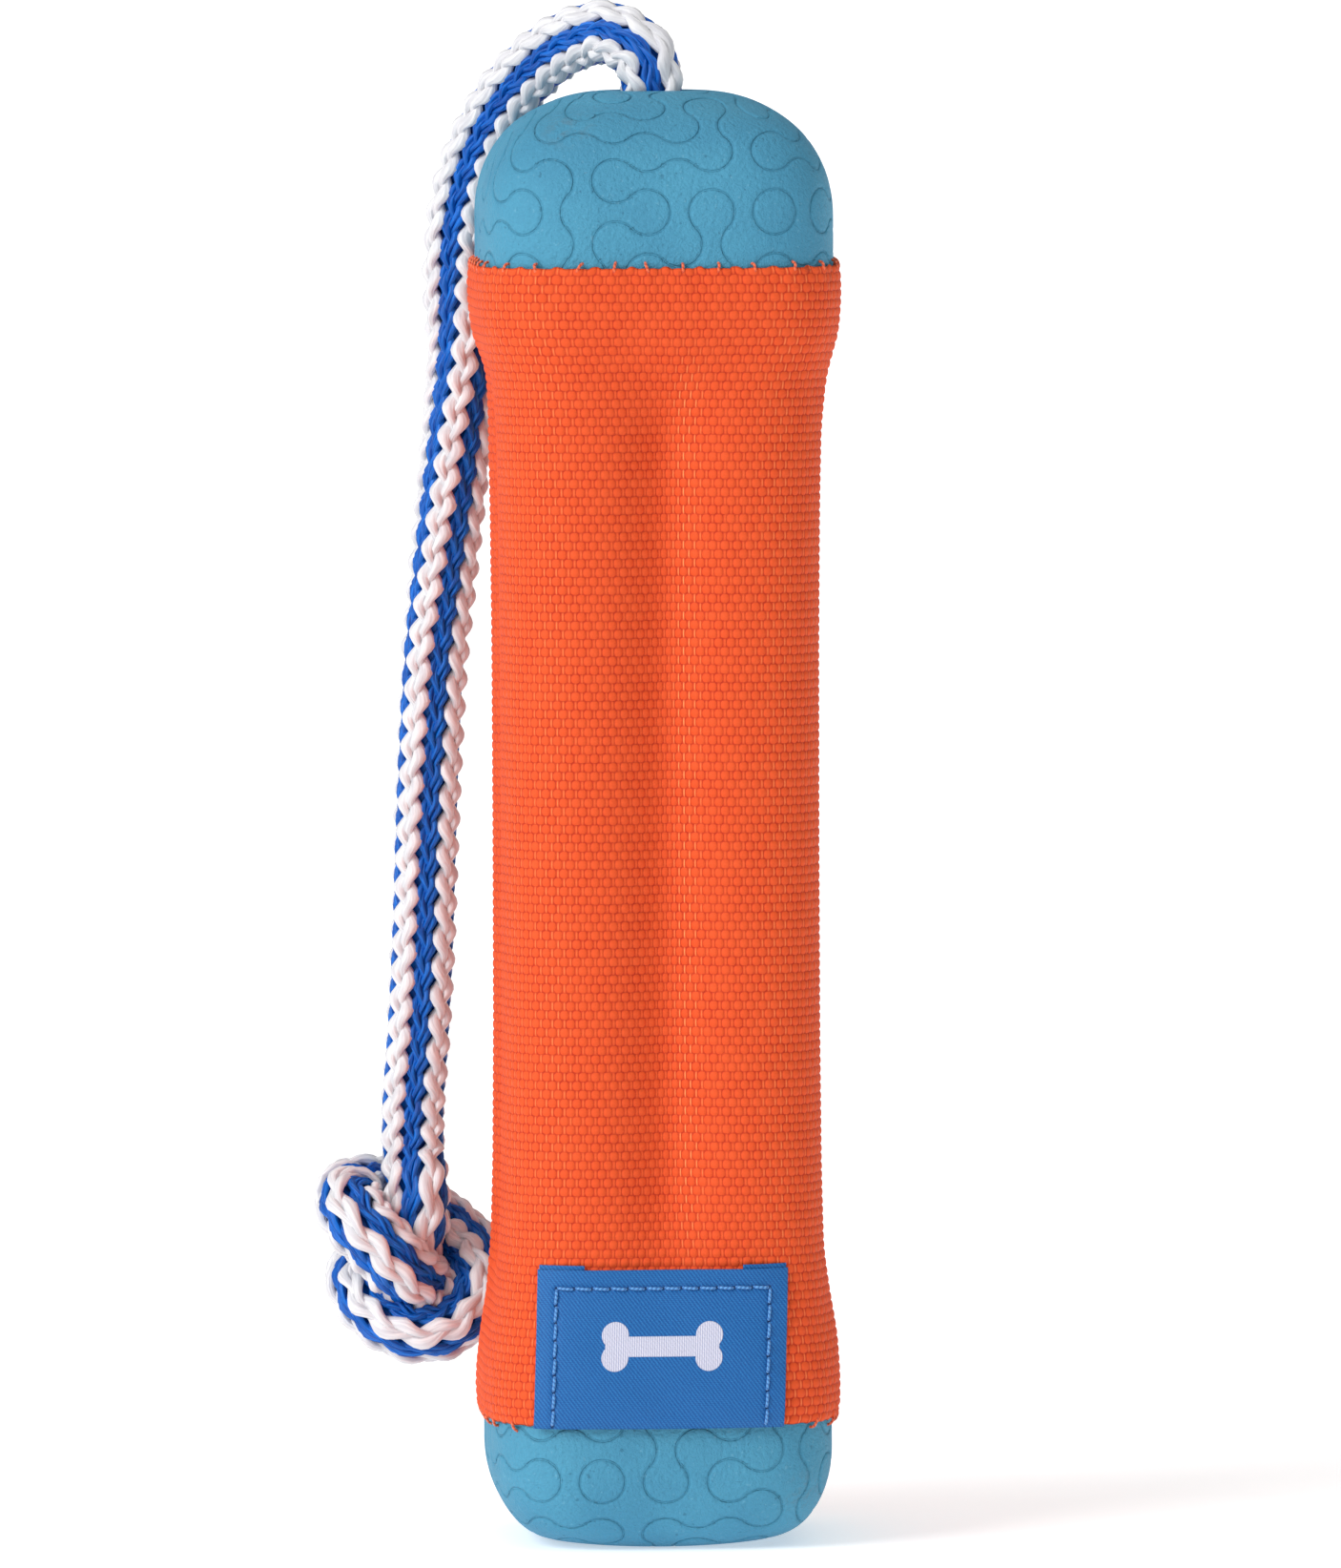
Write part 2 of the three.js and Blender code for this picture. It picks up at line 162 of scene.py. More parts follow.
# Threads.
SEAM_THREAD_RADIUS = 0.28 * MM
LABEL_THREAD_RADIUS = 0.88 * SEAM_THREAD_RADIUS
HEM_THREAD_RADIUS = 0.9 * SEAM_THREAD_RADIUS
STITCH_LENGTH = 3.1 * MM
STITCH_STEP = 0.25 * MM
STITCH_SIDES = 8
LABEL_STITCH = (  # (share of its length, millimetres off the sleeve)
    (0.07, 0.46), (0.16, 0.94), (0.35, 1.18), (0.65, 1.20), (0.84, 0.96), (0.93, 0.46),
)
SEAM_STITCH = (  # (share of its length, millimetres off the seam)
    (0.04, -0.2), (0.15, 0.25), (0.5, 0.38), (0.85, 0.25), (0.96, -0.2),
)
SEAM_END = 3 * MM  # from each hem to its first stitch
HEM_STITCH = (  # (millimetres past the hem, millimetres off the cloth, share of its lean)
    (-0.9, -0.4, 0.0), (-0.6, 0.05, 0.1), (-0.2, 0.28, 0.3), (0.2, 0.30, 0.5), (0.7, 0.05, 0.8),
)
HEM_THICKNESS = 0.55 * MM
HEM_STITCH_LEAN = 0.05
HEM_STITCH_DEPTH = 0.35 * MM  # of its end in the cap

# Rope.
ROPE_COLUMNS = 8
PLAIT_PERIOD = 15 * MM
# A plait's distance from the rope's middle, its strands' swing to each side and their dip where
# they cross, and a strand's half thickness and half width.
WHITE_PLAIT = np.array([4.95, 1.32, 0.65, 0.90, 1.06]) * MM
BLUE_PLAIT = np.array([4.35, 1.08, 0.45, 0.72, 0.60]) * MM
ROPE_CORE_RADIUS = 3.7 * MM
NECK = 0.72  # a strand's size at its column's middle, next to those half sizes
KNOBBLE = 0.62  # how much it swells where it turns back, at its column's edge
YARN_LEAD = 0.42  # turn of the plait, in radians, between the two yarns of a strand
YARN_SPREAD = 0.28 * MM  # of each of the two from the strand's middle
TUBE_END = (0.35, 0.85)  # size of a tube's first and second ring, next to the others
ROPE_STEP = 0.8 * MM
BORE_SQUEEZE = 0.07  # how much thinner the rope is in its bore
BORE_SQUEEZE_END = (12 * MM, 18 * MM)  # along the rope
FRONT = np.array([-0.07, -0.9975, 0])  # the horizontal direction that the rope's roll is told from
# The rope's route, in millimetres.
STEM_ROUTE = [
    (0, 0, 240.6), (0, 0, 247), (0, 0, 253), (-0.6, 0.6, 257.4), (-2.2, 2.2, 260.9),
]
HANGING_ROUTE = [
    (-7, 7, 263.8), (-11.6, 11.6, 263.2), (-16.1, 16.1, 260.8), (-20.3, 20.3, 257),
    (-24.2, 24.2, 252.1), (-27.5, 27.5, 246.2), (-30.1, 30.1, 239.4), (-31.8, 31.8, 232),
    (-32.5, 32.5, 225), (-32.4, 32.4, 218), (-31.9, 31.8, 210), (-32.2, 31.8, 200),
    (-33.3, 32.1, 187), (-35.1, 32.7, 170), (-36.8, 33, 153), (-37.8, 33.2, 136),
    (-38.5, 33.3, 119), (-39.1, 33.4, 102), (-40, 33.4, 86), (-40.9, 33.5, 74),
]
KNOT_ROUTE = [
    (-41, 32.5, 65.5), (-40.5, 30, 58.5), (-41, 31.2, 51.8), (-43.2, 37.3, 46.8),
    (-47, 41.8, 45.2), (-50, 39.2, 43), (-49, 33.8, 39.1), (-45.3, 30.4, 35.8),
    (-40.5, 29.2, 34.1), (-35, 29.8, 35.2), (-31, 31.7, 38.8), (-29.8, 35.2, 42.8),
    (-31.2, 39.7, 47), (-35, 43, 50.8), (-40.8, 43.6, 54.6), (-47.2, 39.8, 57.9),
    (-52.4, 32, 57.7), (-51.4, 25.2, 54), (-47.2, 23.6, 49.2), (-43.1, 26.2, 44.6),
    (-38.7, 35, 40.8), (-34.7, 40.8, 38.2), (-31.5, 43.8, 37),
]
ROPE_ROLL = [  # (metres along the rope, degrees from FRONT to one white column)
    (0, -43), (0.030, -42), (0.090, -28), (0.118, 8), (0.156, 30), (0.194, 38),
    (0.228, 41), (0.245, 44), (0.285, 98),
]
ANCHOR_SCALE = 0.84  # of the rope in the anchor knot, which is pulled tight
ANCHOR_ROPE_RADIUS = 5.4 * MM
ANCHOR_STEP = 1.2 * MM
ANCHOR_SIDES = 6

# Camera: where it stands round the body, and how much of the body's plane its frame holds.
CAMERA_AZIMUTH = math.radians(-4)
CAMERA_ROLL = math.radians(0.2)
CAMERA_DISTANCE = 2.9
CAMERA_HEIGHT = 0.32
AIM = (0.0027, 0, 0.1324)
FRAME_HEIGHT = 0.2749

# Studio.
FLOOR_HALF = 60
SKY_LEFT, SKY_RIGHT = 0.34, 0.21  # strength of the sky on each side
HORIZON = (0.06, 0.20)  # height over which the sky's white edge ends


# Small tools.

def smoothstep(low, high, value):
    t = np.clip((value - low) / (high - low), 0, 1)
    return t * t * (3 - 2 * t)


def scatter(*numbers):
    """A fixed scatter from 0 to 1 for each set of whole numbers."""
    mixed = sum(np.sin(n * k) for n, k in zip(numbers, (12.9898, 78.233, 37.719)))
    return np.modf(np.abs(mixed * 43758.5453))[0]


def grid_faces(rows, columns, closed=False):
    """Quads of a grid of points, and the (column, row) at each corner of each quad."""
    across = columns if closed else columns - 1
    row, column = np.mgrid[0:rows - 1, 0:across]
    corner_row = np.stack([row, row, row + 1, row + 1], -1).reshape(-1, 4)
    corner_column = np.stack([column, column + 1, column + 1, column], -1).reshape(-1, 4)
    faces = corner_row * columns + corner_column % columns
    return faces, np.stack([corner_column, corner_row], -1)


def new_object(name, data):
    made = bpy.data.objects.new(name, data)
    bpy.context.collection.objects.link(made)
    return made


def new_piece(name, points, faces, material, uv=None):
    """A smooth object from points in metres, faces, and a (u, v) for each corner of each face."""
    mesh = bpy.data.meshes.new(name)
    mesh.from_pydata(np.reshape(points, (-1, 3)).tolist(), [], faces)
    if uv is not None:
        layer = mesh.uv_layers.new(name="UVMap")
        layer.data.foreach_set("uv", np.asarray(uv, np.float32).ravel())
    mesh.shade_smooth()
    mesh.materials.append(material)
    return new_object(name, mesh)


def put_on_body(piece, node):
    """The piece takes a CAD node's place, hiding that node, and rides on the body."""
    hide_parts(node)
    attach(piece, "bumper_body")


def paint(piece, name, values):
    """Keeps a number for each point of a piece, for its material to read."""
    attribute = piece.data.attributes.new(name, "FLOAT", "POINT")
    attribute.data.foreach_set("value", np.asarray(values, np.float32).ravel())


def distances(points):
    """How far along its line each point is."""
    return np.concatenate([[0], np.cumsum(np.linalg.norm(np.diff(points, axis=0), axis=1))])


def evenly_spaced(points, step):
    """The same line with points about `step` apart."""
    points = np.array(points, float)
    along = distances(points)
    even = np.linspace(0, along[-1], round(along[-1] / step) + 1)
    return np.stack([np.interp(even, along, column) for column in points.T], -1)


def smooth_route(route, step):
    """Points about `step` apart on a Catmull-Rom curve through the route's points."""
    knots = np.array(route, float)
    knots = np.vstack([2 * knots[0] - knots[1], knots, 2 * knots[-1] - knots[-2]])
    t = np.linspace(0, 1, 24, endpoint=False)[:, None]
    spans = []
    for a, b, c, d in zip(knots, knots[1:], knots[2:], knots[3:]):
        spans.append(0.5 * (2 * b + (c - a) * t + (2 * a - 5 * b + 4 * c - d) * t ** 2
                            + (3 * b - a - 3 * c + d) * t ** 3))
    return evenly_spaced([point for span in spans for point in span] + [knots[-2]], step)


def unit(vectors):
    return vectors / np.linalg.norm(vectors, axis=-1, keepdims=True)


# Materials.

class Shader:
    """The nodes of one material, with a Principled BSDF at the end."""

    def __init__(self, name, roughness, **settings):
        self.material = bpy.data.materials.new(name)
        self.material.use_nodes = True
        self.tree = self.material.node_tree
        self.bsdf = self.tree.nodes["Principled BSDF"]
        self.bsdf.inputs["Roughness"].default_value = roughness
        for socket, value in settings.items():
            self.bsdf.inputs[socket.replace("_", " ")].default_value = value

    def node(self, kind, inputs=(), **settings):
        """A node with these settings. Inputs are (socket, value or output) pairs."""
        made = self.tree.nodes.new("ShaderNode" + kind)
        for name, value in settings.items():
            setattr(made, name, value)
        for socket, value in inputs:
            if isinstance(value, bpy.types.NodeSocket):
                self.tree.links.new(value, made.inputs[socket])
            else:
                made.inputs[socket].default_value = value
        return made

    def math(self, operation, *values, clamp=False):
        made = self.node("Math", list(enumerate(values)), operation=operation, use_clamp=clamp)
        return made.outputs[0]

    def times(self, *values):
        return self.math("MULTIPLY", *values)

    def times_plus(self, *values):
        return self.math("MULTIPLY_ADD", *values)

    def minus(self, *values):
        return self.math("SUBTRACT", *values)

    def absolute(self, value):
        return self.math("ABSOLUTE", value)

    def from_circle(self, x, y, radius):
        """Distance from a circle round the origin, below 0 inside it."""
        away = self.node("VectorMath", [(0, self.vector(x, y))], operation="LENGTH")
        return self.minus(away.outputs["Value"], radius)

    def smooth(self, value, low, high):
        """From 0 to 1 as the value goes from low to high."""
        made = self.node("MapRange", [(0, value), (1, low), (2, high)],
                         interpolation_type="SMOOTHSTEP")
        return made.outputs[0]

    def mix(self, factor, first, second, blend="MIX"):
        made = self.node("Mix", [(0, factor), (6, first), (7, second)],
                         data_type="RGBA", blend_type=blend)
        return made.outputs[2]

    def noise(self, vector, scale, detail=2, roughness=0.5):
        made = self.node("TexNoise", [("Vector", vector), ("Scale", scale), ("Detail", detail),
                                      ("Roughness", roughness)])
        return made.outputs["Fac"]

    def place(self):
        return self.node("TexCoord").outputs["Object"]

    def kept(self, name):
        """A number kept for each point of the piece by paint()."""
        return self.node("Attribute", attribute_name=name).outputs["Fac"]

    def uv(self):
        split = self.node("SeparateXYZ", [(0, self.node("UVMap").outputs[0])])
        return split.outputs[0], split.outputs[1]

    def vector(self, x, y, z=0):
        return self.node("CombineXYZ", [(0, x), (1, y), (2, z)]).outputs[0]

    def bump(self, height, distance, strength=1, after=None):
        inputs = [("Height", height), ("Distance", distance), ("Strength", strength)]
        if after is not None:
            inputs.append(("Normal", after))
        return self.node("Bump", inputs).outputs[0]

    def colour(self, output):
        self.tree.links.new(output, self.bsdf.inputs["Base Color"])

    def roughness(self, output):
        self.tree.links.new(output, self.bsdf.inputs["Roughness"])

    def normal(self, output):
        self.tree.links.new(output, self.bsdf.inputs["Normal"])


def rope_material(name, light, dark, roughness):
    """Shiny filaments along each strand. u is a strand's number and the way round it."""
    nodes = Shader(name, roughness, Specular_IOR_Level=0.35)
    around, along = nodes.uv()
    lay = nodes.times_plus(along, 0.35, nodes.times(around, 10))
    fibres = nodes.noise(nodes.vector(lay, nodes.times(along, 0.12)), 1, 3)
    streak = nodes.smooth(fibres, 0.3, 0.7)
    blotch = nodes.noise(nodes.place(), 160, 2)
    tone = nodes.times_plus(streak, 0.7, nodes.times(blotch, 0.3))
    nodes.colour(nodes.mix(tone, dark, light))
    nodes.roughness(nodes.times_plus(streak, -0.15, roughness + 0.1))
    nodes.normal(nodes.bump(fibres, 0.35 * MM, 0.8))
    return nodes.material


def rubber_material(name, light, dark):
    """Moulded foam rubber: a fine skin grain, specks, and painted shade in the engraved line."""
    nodes = Shader(name, 0.62, Specular_IOR_Level=0.35)
    place = nodes.place()
    grain = nodes.noise(place, 1900, 4, 0.6)
    cloud = nodes.noise(place, 60, 3)
    base = nodes.mix(nodes.smooth(cloud, 0.3, 0.7), dark, light)
    pitted = nodes.mix(0.22, base, (0.03, 0.20, 0.33, 1))
    base = nodes.mix(nodes.smooth(grain, 0.35, 0.62), pitted, base)
    speck = nodes.smooth(nodes.noise(place, 900, 2, 0.4), 0.70, 0.76)
    base = nodes.mix(nodes.times(speck, 0.5), base, (0.02, 0.12, 0.2, 1))
    pale = nodes.smooth(nodes.noise(place, 1300, 1), 0.68, 0.76)
    base = nodes.mix(nodes.times(pale, 0.10), base, (0.45, 0.75, 0.85, 1))
    line = nodes.smooth(nodes.absolute(nodes.kept("line_distance")), 0.26, 0.05)
    groove = nodes.times(line, nodes.smooth(nodes.kept("groove"), 0.08, 0.3))
    # Painted shade: the engraved groove is tinted darker.
    base = nodes.mix(nodes.times(groove, 0.05), base, (0.03, 0.18, 0.28, 1))
    rubbed = nodes.smooth(nodes.noise(place, 420, 5, 0.7), 0.45, 0.6)
    scuff = nodes.times(nodes.kept("scuff"), rubbed)
    base = nodes.mix(nodes.times(scuff, 0.5), base, (0.12, 0.17, 0.20, 1))
    nodes.colour(base)
    skin = nodes.noise(place, 1150, 3, 0.65)
    nodes.roughness(nodes.times_plus(grain, 0.3, 0.5))
    bumped = nodes.bump(skin, 0.55 * MM, 0.9)
    nodes.normal(nodes.bump(nodes.times(groove, -1), 0.22 * MM, 0.9, bumped))
    return nodes.material


def bead_edge(nodes, distance, half_size):
    """From 0 at the middle of a bead of the weave to 1 at its edge."""
    share = nodes.absolute(nodes.math("DIVIDE", distance, half_size))
    return nodes.math("POWER", share, BEAD_POWER)


def weave_material():
    """Coarse nylon weave, as in weave_height(). u and v are millimetres round the body and up it."""
    nodes = Shader("orange_weave", 0.65, Specular_IOR_Level=0.15)
    around, up = nodes.uv()
    yarn, pick = YARN_PITCH / MM, PICK_PITCH / MM
    row = nodes.math("FLOOR", nodes.math("DIVIDE", up, pick))
    offset = nodes.times(nodes.math("MODULO", row, 2), yarn)
    shifted = nodes.minus(around, offset)
    cell = nodes.math("FLOOR", nodes.math("DIVIDE", shifted, 2 * yarn))
    x = nodes.minus(nodes.math("FLOORED_MODULO", shifted, 2 * yarn), yarn)
    y = nodes.minus(nodes.math("FLOORED_MODULO", up, pick), pick / 2)
    across = bead_edge(nodes, x, BEAD_WIDTH)
    along = bead_edge(nodes, y, BEAD_LENGTH)
    dome = nodes.math("SUBTRACT", 1, nodes.math("ADD", across, along), clamp=True)
    dome = nodes.math("POWER", dome, BEAD_ROUNDING)
    gap = nodes.smooth(nodes.absolute(x), *UNDER_SHOWS)
    under = nodes.math("SUBTRACT", 1, nodes.times(along, UNDER_FALL), clamp=True)
    between = nodes.times(nodes.times(gap, under), UNDER_HEIGHT)
    height = nodes.math("MAXIMUM", dome, between)
    tint = nodes.node("TexWhiteNoise", [("Vector", nodes.vector(cell, row))],
                      noise_dimensions="2D").outputs["Value"]
    # Painted shade: darker where the weave lies low between the beads.
    base = nodes.mix(nodes.smooth(height, 0, 0.5),
                     (0.55, 0.040, 0.014, 1), (0.80, 0.092, 0.022, 1))
    base = nodes.mix(nodes.times(tint, 0.3), base, (0.87, 0.122, 0.032, 1))
    # Pale thread between the beads: faint everywhere, and a painted highlight where the kept weight is
    # high, on one flute wall and at the corners.
    thread = nodes.smooth(nodes.absolute(x), 0.90, 1.0)
    thread = nodes.times(thread, nodes.times(under, nodes.kept("thread_highlight")))
    base = nodes.mix(thread, base, (0.95, 0.38, 0.14, 1))
    grime = nodes.smooth(nodes.noise(nodes.place(), 500, 4, 0.7), 0.56, 0.68)
    dirt = nodes.times(nodes.kept("dirt"), grime)
    base = nodes.mix(nodes.times(dirt, 0.45), base, (0.12, 0.03, 0.02, 1))
    nodes.colour(base)
    stretched = nodes.vector(nodes.times(around, 9), nodes.times(up, 1.5))
    fibre = nodes.noise(stretched, 1, 2)
    bumped = nodes.bump(height, 0.24 * MM, 0.7)
    nodes.normal(nodes.bump(fibre, 0.08 * MM, 0.5, bumped))
    return nodes.material


def satin_material():
    """Blue satin label with a fine twill and a plain bone motif woven in white."""
    nodes = Shader("blue_satin", 0.5, Specular_IOR_Level=0.3, Sheen_Weight=0.08,
                   Sheen_Roughness=0.4)
    x, y = nodes.uv()
    slanted = nodes.math("ADD", x, nodes.times(y, 0.8))
    twill = nodes.math("SINE", nodes.times(slanted, 9))
    wefts = nodes.math("SINE", nodes.times(y, 19))
    stretched = nodes.vector(nodes.times(x, 3), nodes.times(y, 7))
    grain = nodes.noise(stretched, 1, 3)
    tone = nodes.times_plus(twill, 0.17, nodes.times_plus(wefts, 0.07, grain))
    blue = nodes.mix(nodes.smooth(tone, 0.25, 0.85),
                     (0.003, 0.082, 0.31, 1), (0.020, 0.190, 0.50, 1))
    bone = bone_motif(nodes, x, y)
    ribs = nodes.times_plus(nodes.math("SINE", nodes.times(x, 16)), 0.5, 0.5)
    white = nodes.mix(ribs, (0.42, 0.44, 0.62, 1), (0.74, 0.74, 0.84, 1))
    woven = nodes.mix(bone, blue, white)
    # Painted shade: the label is darkened in each needle hole.
    hole = nodes.smooth(nodes.kept("needle_hole"), 0.3, 0.9)
    nodes.colour(nodes.mix(nodes.times(hole, 0.85), woven, (0.002, 0.02, 0.09, 1)))
    height = nodes.times_plus(bone, 1.2, nodes.times(tone, 1.1))
    nodes.normal(nodes.bump(height, 0.13 * MM, 0.7))
    return nodes.material


def bone_motif(nodes, x, y):
    """1 inside a plain bone shape, 0 outside. x and y are millimetres from the label's middle."""
    half_length, bar, knuckle, spread, rise = 8.2, 1.75, 2.35, 1.95, 0.6
    past_end = nodes.minus(nodes.absolute(x), half_length)
    up = nodes.absolute(nodes.minus(y, rise))
    shaft = nodes.from_circle(nodes.math("MAXIMUM", past_end, 0), up, bar)
    ends = nodes.from_circle(past_end, nodes.minus(up, spread), knuckle)
    edge = nodes.math("MINIMUM", shaft, ends)
    return nodes.smooth(nodes.times(edge, -1), -0.06, 0.06)


def thread_material(name, light, dark):
    """Twisted sewing thread. v runs along it in millimetres."""
    nodes = Shader(name, 0.5, Sheen_Weight=0.3)
    around, along = nodes.uv()
    turned_by = nodes.times_plus(along, 9, nodes.times(around, TURN))
    twist = nodes.math("SINE", turned_by)
    nodes.colour(nodes.mix(nodes.smooth(twist, -0.9, 0.6), dark, light))
    nodes.normal(nodes.bump(twist, 0.08 * MM, 0.6))
    return nodes.material


def foam_material():
    """Closed-cell foam, cut from a pale block."""
    nodes = Shader("pale_foam", 0.9, Specular_IOR_Level=0.2)
    place = nodes.place()
    cells = nodes.node("TexVoronoi", [("Vector", place), ("Scale", 900)]).outputs["Distance"]
    nodes.colour(nodes.mix(nodes.smooth(cells, 0.1, 0.6),
                           (0.50, 0.48, 0.42, 1), (0.74, 0.72, 0.66, 1)))
    nodes.normal(nodes.bump(cells, 0.3 * MM, 0.5))
    return nodes.material


def floor_material():
    nodes = Shader("white_floor", 0.9, Specular_IOR_Level=0.1, Emission_Color=(1, 1, 1, 1),
                   Emission_Strength=0.44)
    fleck = nodes.noise(nodes.place(), 40, 2)
    nodes.colour(nodes.mix(fleck, (0.90, 0.90, 0.90, 1), (0.94, 0.94, 0.94, 1)))
    return nodes.material


# Camera, lights and floor.

def add_camera():
    camera = bpy.data.cameras.new("camera")
    camera.sensor_width = 36
    holder = new_object("camera", camera)
    x = AIM[0] + math.sin(CAMERA_AZIMUTH) * CAMERA_DISTANCE
    y = AIM[1] - math.cos(CAMERA_AZIMUTH) * CAMERA_DISTANCE
    holder.location = (x, y, CAMERA_HEIGHT)
    drop = CAMERA_HEIGHT - AIM[2]
    pitch = math.atan2(drop, CAMERA_DISTANCE)
    camera.lens = camera.sensor_width * math.hypot(drop, CAMERA_DISTANCE) / FRAME_HEIGHT
    camera.clip_start = 0.05
    camera.clip_end = 200
    holder.rotation_euler = (TURN / 4 - pitch, 0, CAMERA_AZIMUTH)
    holder.rotation_euler.rotate_axis("Z", -CAMERA_ROLL)
    bpy.context.scene.camera = holder


def add_sun(name, azimuth, elevation, softness, strength):
    """A soft light. Angles are in degrees, and an azimuth of 0 is in front of the body."""
    light = bpy.data.lights.new(name, "SUN")
    light.angle = math.radians(softness)
    light.energy = strength
    holder = new_object(name, light)
    holder.rotation_euler = (math.radians(90 - elevation), 0, math.radians(azimuth))


def sky_range(tree, value, given, wanted):
    made = tree.nodes.new("ShaderNodeMapRange")
    tree.links.new(value, made.inputs[0])
    for socket, number in enumerate((*given, *wanted), 1):
        made.inputs[socket].default_value = number
    return made.outputs[0]


def add_studio():
    """A white floor, a soft key light from the left, and a sky that is white near the horizon."""
    world = bpy.data.worlds.new("studio")
    bpy.context.scene.world = world
    world.use_nodes = True
    tree = world.node_tree
    split = tree.nodes.new("ShaderNodeSeparateXYZ")
    tree.links.new(tree.nodes.new("ShaderNodeTexCoord").outputs["Generated"], split.inputs[0])
    dome = sky_range(tree, split.outputs["X"], (-1, 1), (SKY_LEFT, SKY_RIGHT))
    height = sky_range(tree, split.outputs["Z"], HORIZON, (1, 0))
    sky = tree.nodes.new("ShaderNodeMix")
    tree.links.new(height, sky.inputs[0])
    tree.links.new(dome, sky.inputs[2])
    sky.inputs[3].default_value = 1
    tree.nodes["Background"].inputs["Color"].default_value = (1, 1, 1, 1)
    tree.links.new(sky.outputs[0], tree.nodes["Background"].inputs["Strength"])
    add_sun("key_light", azimuth=-56, elevation=32, softness=34, strength=1.88)
    add_sun("top_light", azimuth=10, elevation=80, softness=90, strength=0.82)
    corners = [(x * FLOOR_HALF, y * FLOOR_HALF, 0) for x, y in ((-1, -1), (1, -1), (1, 1), (-1, 1))]
    floor = new_piece("floor", corners, [(0, 1, 2, 3)], floor_material())
    bpy.context.scene.view_settings.view_transform = "Standard"


# Rope.

class Rope:
    """A route with a frame at each point. `roll` is the angle of one white column from FRONT."""

    def __init__(self, route, step, roll):
        self.path = smooth_route(route, step)
        self.along = distances(self.path)
        self.length = self.along[-1]
        tangent = unit(np.gradient(self.path, axis=0))
        facing = FRONT - (tangent @ FRONT)[:, None] * tangent
        self.facing = unit(facing)
        self.side = np.cross(tangent, self.facing)
        at, degrees = np.array(roll, float).T
        self.roll = np.radians(np.interp(self.along, at, degrees))
        self.girth = 1

    def outward(self, angle):
        turned = angle[:, None]
        return np.cos(turned) * self.facing + np.sin(turned) * self.side


class Strands:
    """Collects tubes that lie along a rope into one mesh."""

    def __init__(self):
        self.points = []
        self.faces = []
        self.uv = []
        self.count = 0
        self.start = 0

    def add(self, centre, outward, sideways, thick, wide, along, sides):
        """A closed tube of oval section. `thick` and `wide` are half sizes, which may vary."""
        turn = np.arange(sides) / sides * TURN
        ring = (thick * np.cos(turn))[..., None] * outward[:, None]
        ring = ring + (wide * np.sin(turn))[..., None] * sideways[:, None]
        taper = np.ones(len(centre))
        taper[[0, -1]], taper[[1, -2]] = TUBE_END
        self.points.append((centre[:, None] + taper[:, None, None] * ring).reshape(-1, 3))
        faces, places = grid_faces(len(centre), sides, closed=True)
        self.faces += (faces + self.start).tolist()
        strand_uv = np.stack([self.count + places[..., 0] / sides, along[places[..., 1]] / MM], -1)
        self.uv.append(strand_uv.reshape(-1, 2))
        last = self.start + (len(centre) - 1) * sides
        self.faces.append([self.start + i for i in reversed(range(sides))])
        self.faces.append([last + i for i in range(sides)])
        self.uv.append(np.zeros((2 * sides, 2)))
        self.count += 1
        self.start += len(centre) * sides

    def piece(self, name, material):
        return new_piece(name, np.vstack(self.points), self.faces, material, np.vstack(self.uv))


def plait(strands, rope, first_column, yarns, sizes, sides):
    """Every second column of the rope, each of three plaited strands.

    A strand has a yarn for each number in `yarns`, which is that yarn's place in it.
    """
    radius, swing, dip, thick, wide = sizes
    for column in range(first_column, ROPE_COLUMNS, 2):
        for strand, yarn in itertools.product(range(3), yarns):
            phase = TURN * (rope.along / PLAIT_PERIOD + strand / 3 + column / 6) + yarn * YARN_LEAD
            across = np.sin(phase) * np.abs(np.sin(phase)) ** 0.5
            swell = (NECK + KNOBBLE * np.abs(np.sin(phase)) ** 3)[:, None]
            aside = swing * across + 2 * yarn * YARN_SPREAD
            angle = rope.roll + column * TURN / ROPE_COLUMNS + aside / radius
            outward = rope.outward(angle)
            sideways = rope.outward(angle + TURN / 4)
            lift = (radius - dip * np.sin(2 * phase)) * rope.girth
            centre = rope.path + lift[:, None] * outward
            strands.add(centre, outward, sideways, thick * swell, wide * swell, rope.along, sides)


def white_strands(rope, name, material, sides=9, scale=1.0):
    strands = Strands()
    plait(strands, rope, 0, (0,), WHITE_PLAIT * scale, sides)
    return strands.piece(name, material)


def blue_strands(rope, name, material, sides=7, scale=1.0):
    strands = Strands()
    plait(strands, rope, 1, (-0.5, 0.5), BLUE_PLAIT * scale, sides)
    core = np.full((len(rope.path), 1), ROPE_CORE_RADIUS * scale)
    strands.add(rope.path, rope.facing, rope.side, core, core, rope.along, sides)
    return strands.piece(name, material)


def add_rope():
    white = rope_material("rope_white", (0.90, 0.90, 0.91, 1), (0.60, 0.59, 0.63, 1), 0.34)
    blue = rope_material("rope_blue", (0.0, 0.19, 0.76, 1), (0.0, 0.032, 0.24, 1), 0.42)
    rope = Rope(np.array(STEM_ROUTE + HANGING_ROUTE + KNOT_ROUTE) * MM, ROPE_STEP, ROPE_ROLL)
    rope.girth = 1 - BORE_SQUEEZE * (1 - smoothstep(*BORE_SQUEEZE_END, rope.along))
    pale = white_strands(rope, "rope_white_strands", white)
    deep = blue_strands(rope, "rope_blue_strands", blue)
    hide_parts("rope_stem", "throw_rope", "end_knot")
    for strands in (pale, deep):
        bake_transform(strands)


# Body.

def outline(half, angle, flute=0.0):
    """Points of a body section of this half width, with a flute down each face."""
    squared = smoothstep(ROUND_RADIUS, SQUARE_RADIUS, half)
    power = 2 + (SQUARENESS - 2) * squared
    radius = half / (np.abs(np.cos(angle)) ** power + np.abs(np.sin(angle)) ** power) ** (1 / power)
    from_face = angle - np.round(angle / (TURN / 4)) * (TURN / 4)
    radius = radius - flute * squared * np.exp(-(radius * np.sin(from_face) / FLUTE_WIDTH) ** 2)
    return np.stack([radius * np.cos(angle), radius * np.sin(angle)], -1)


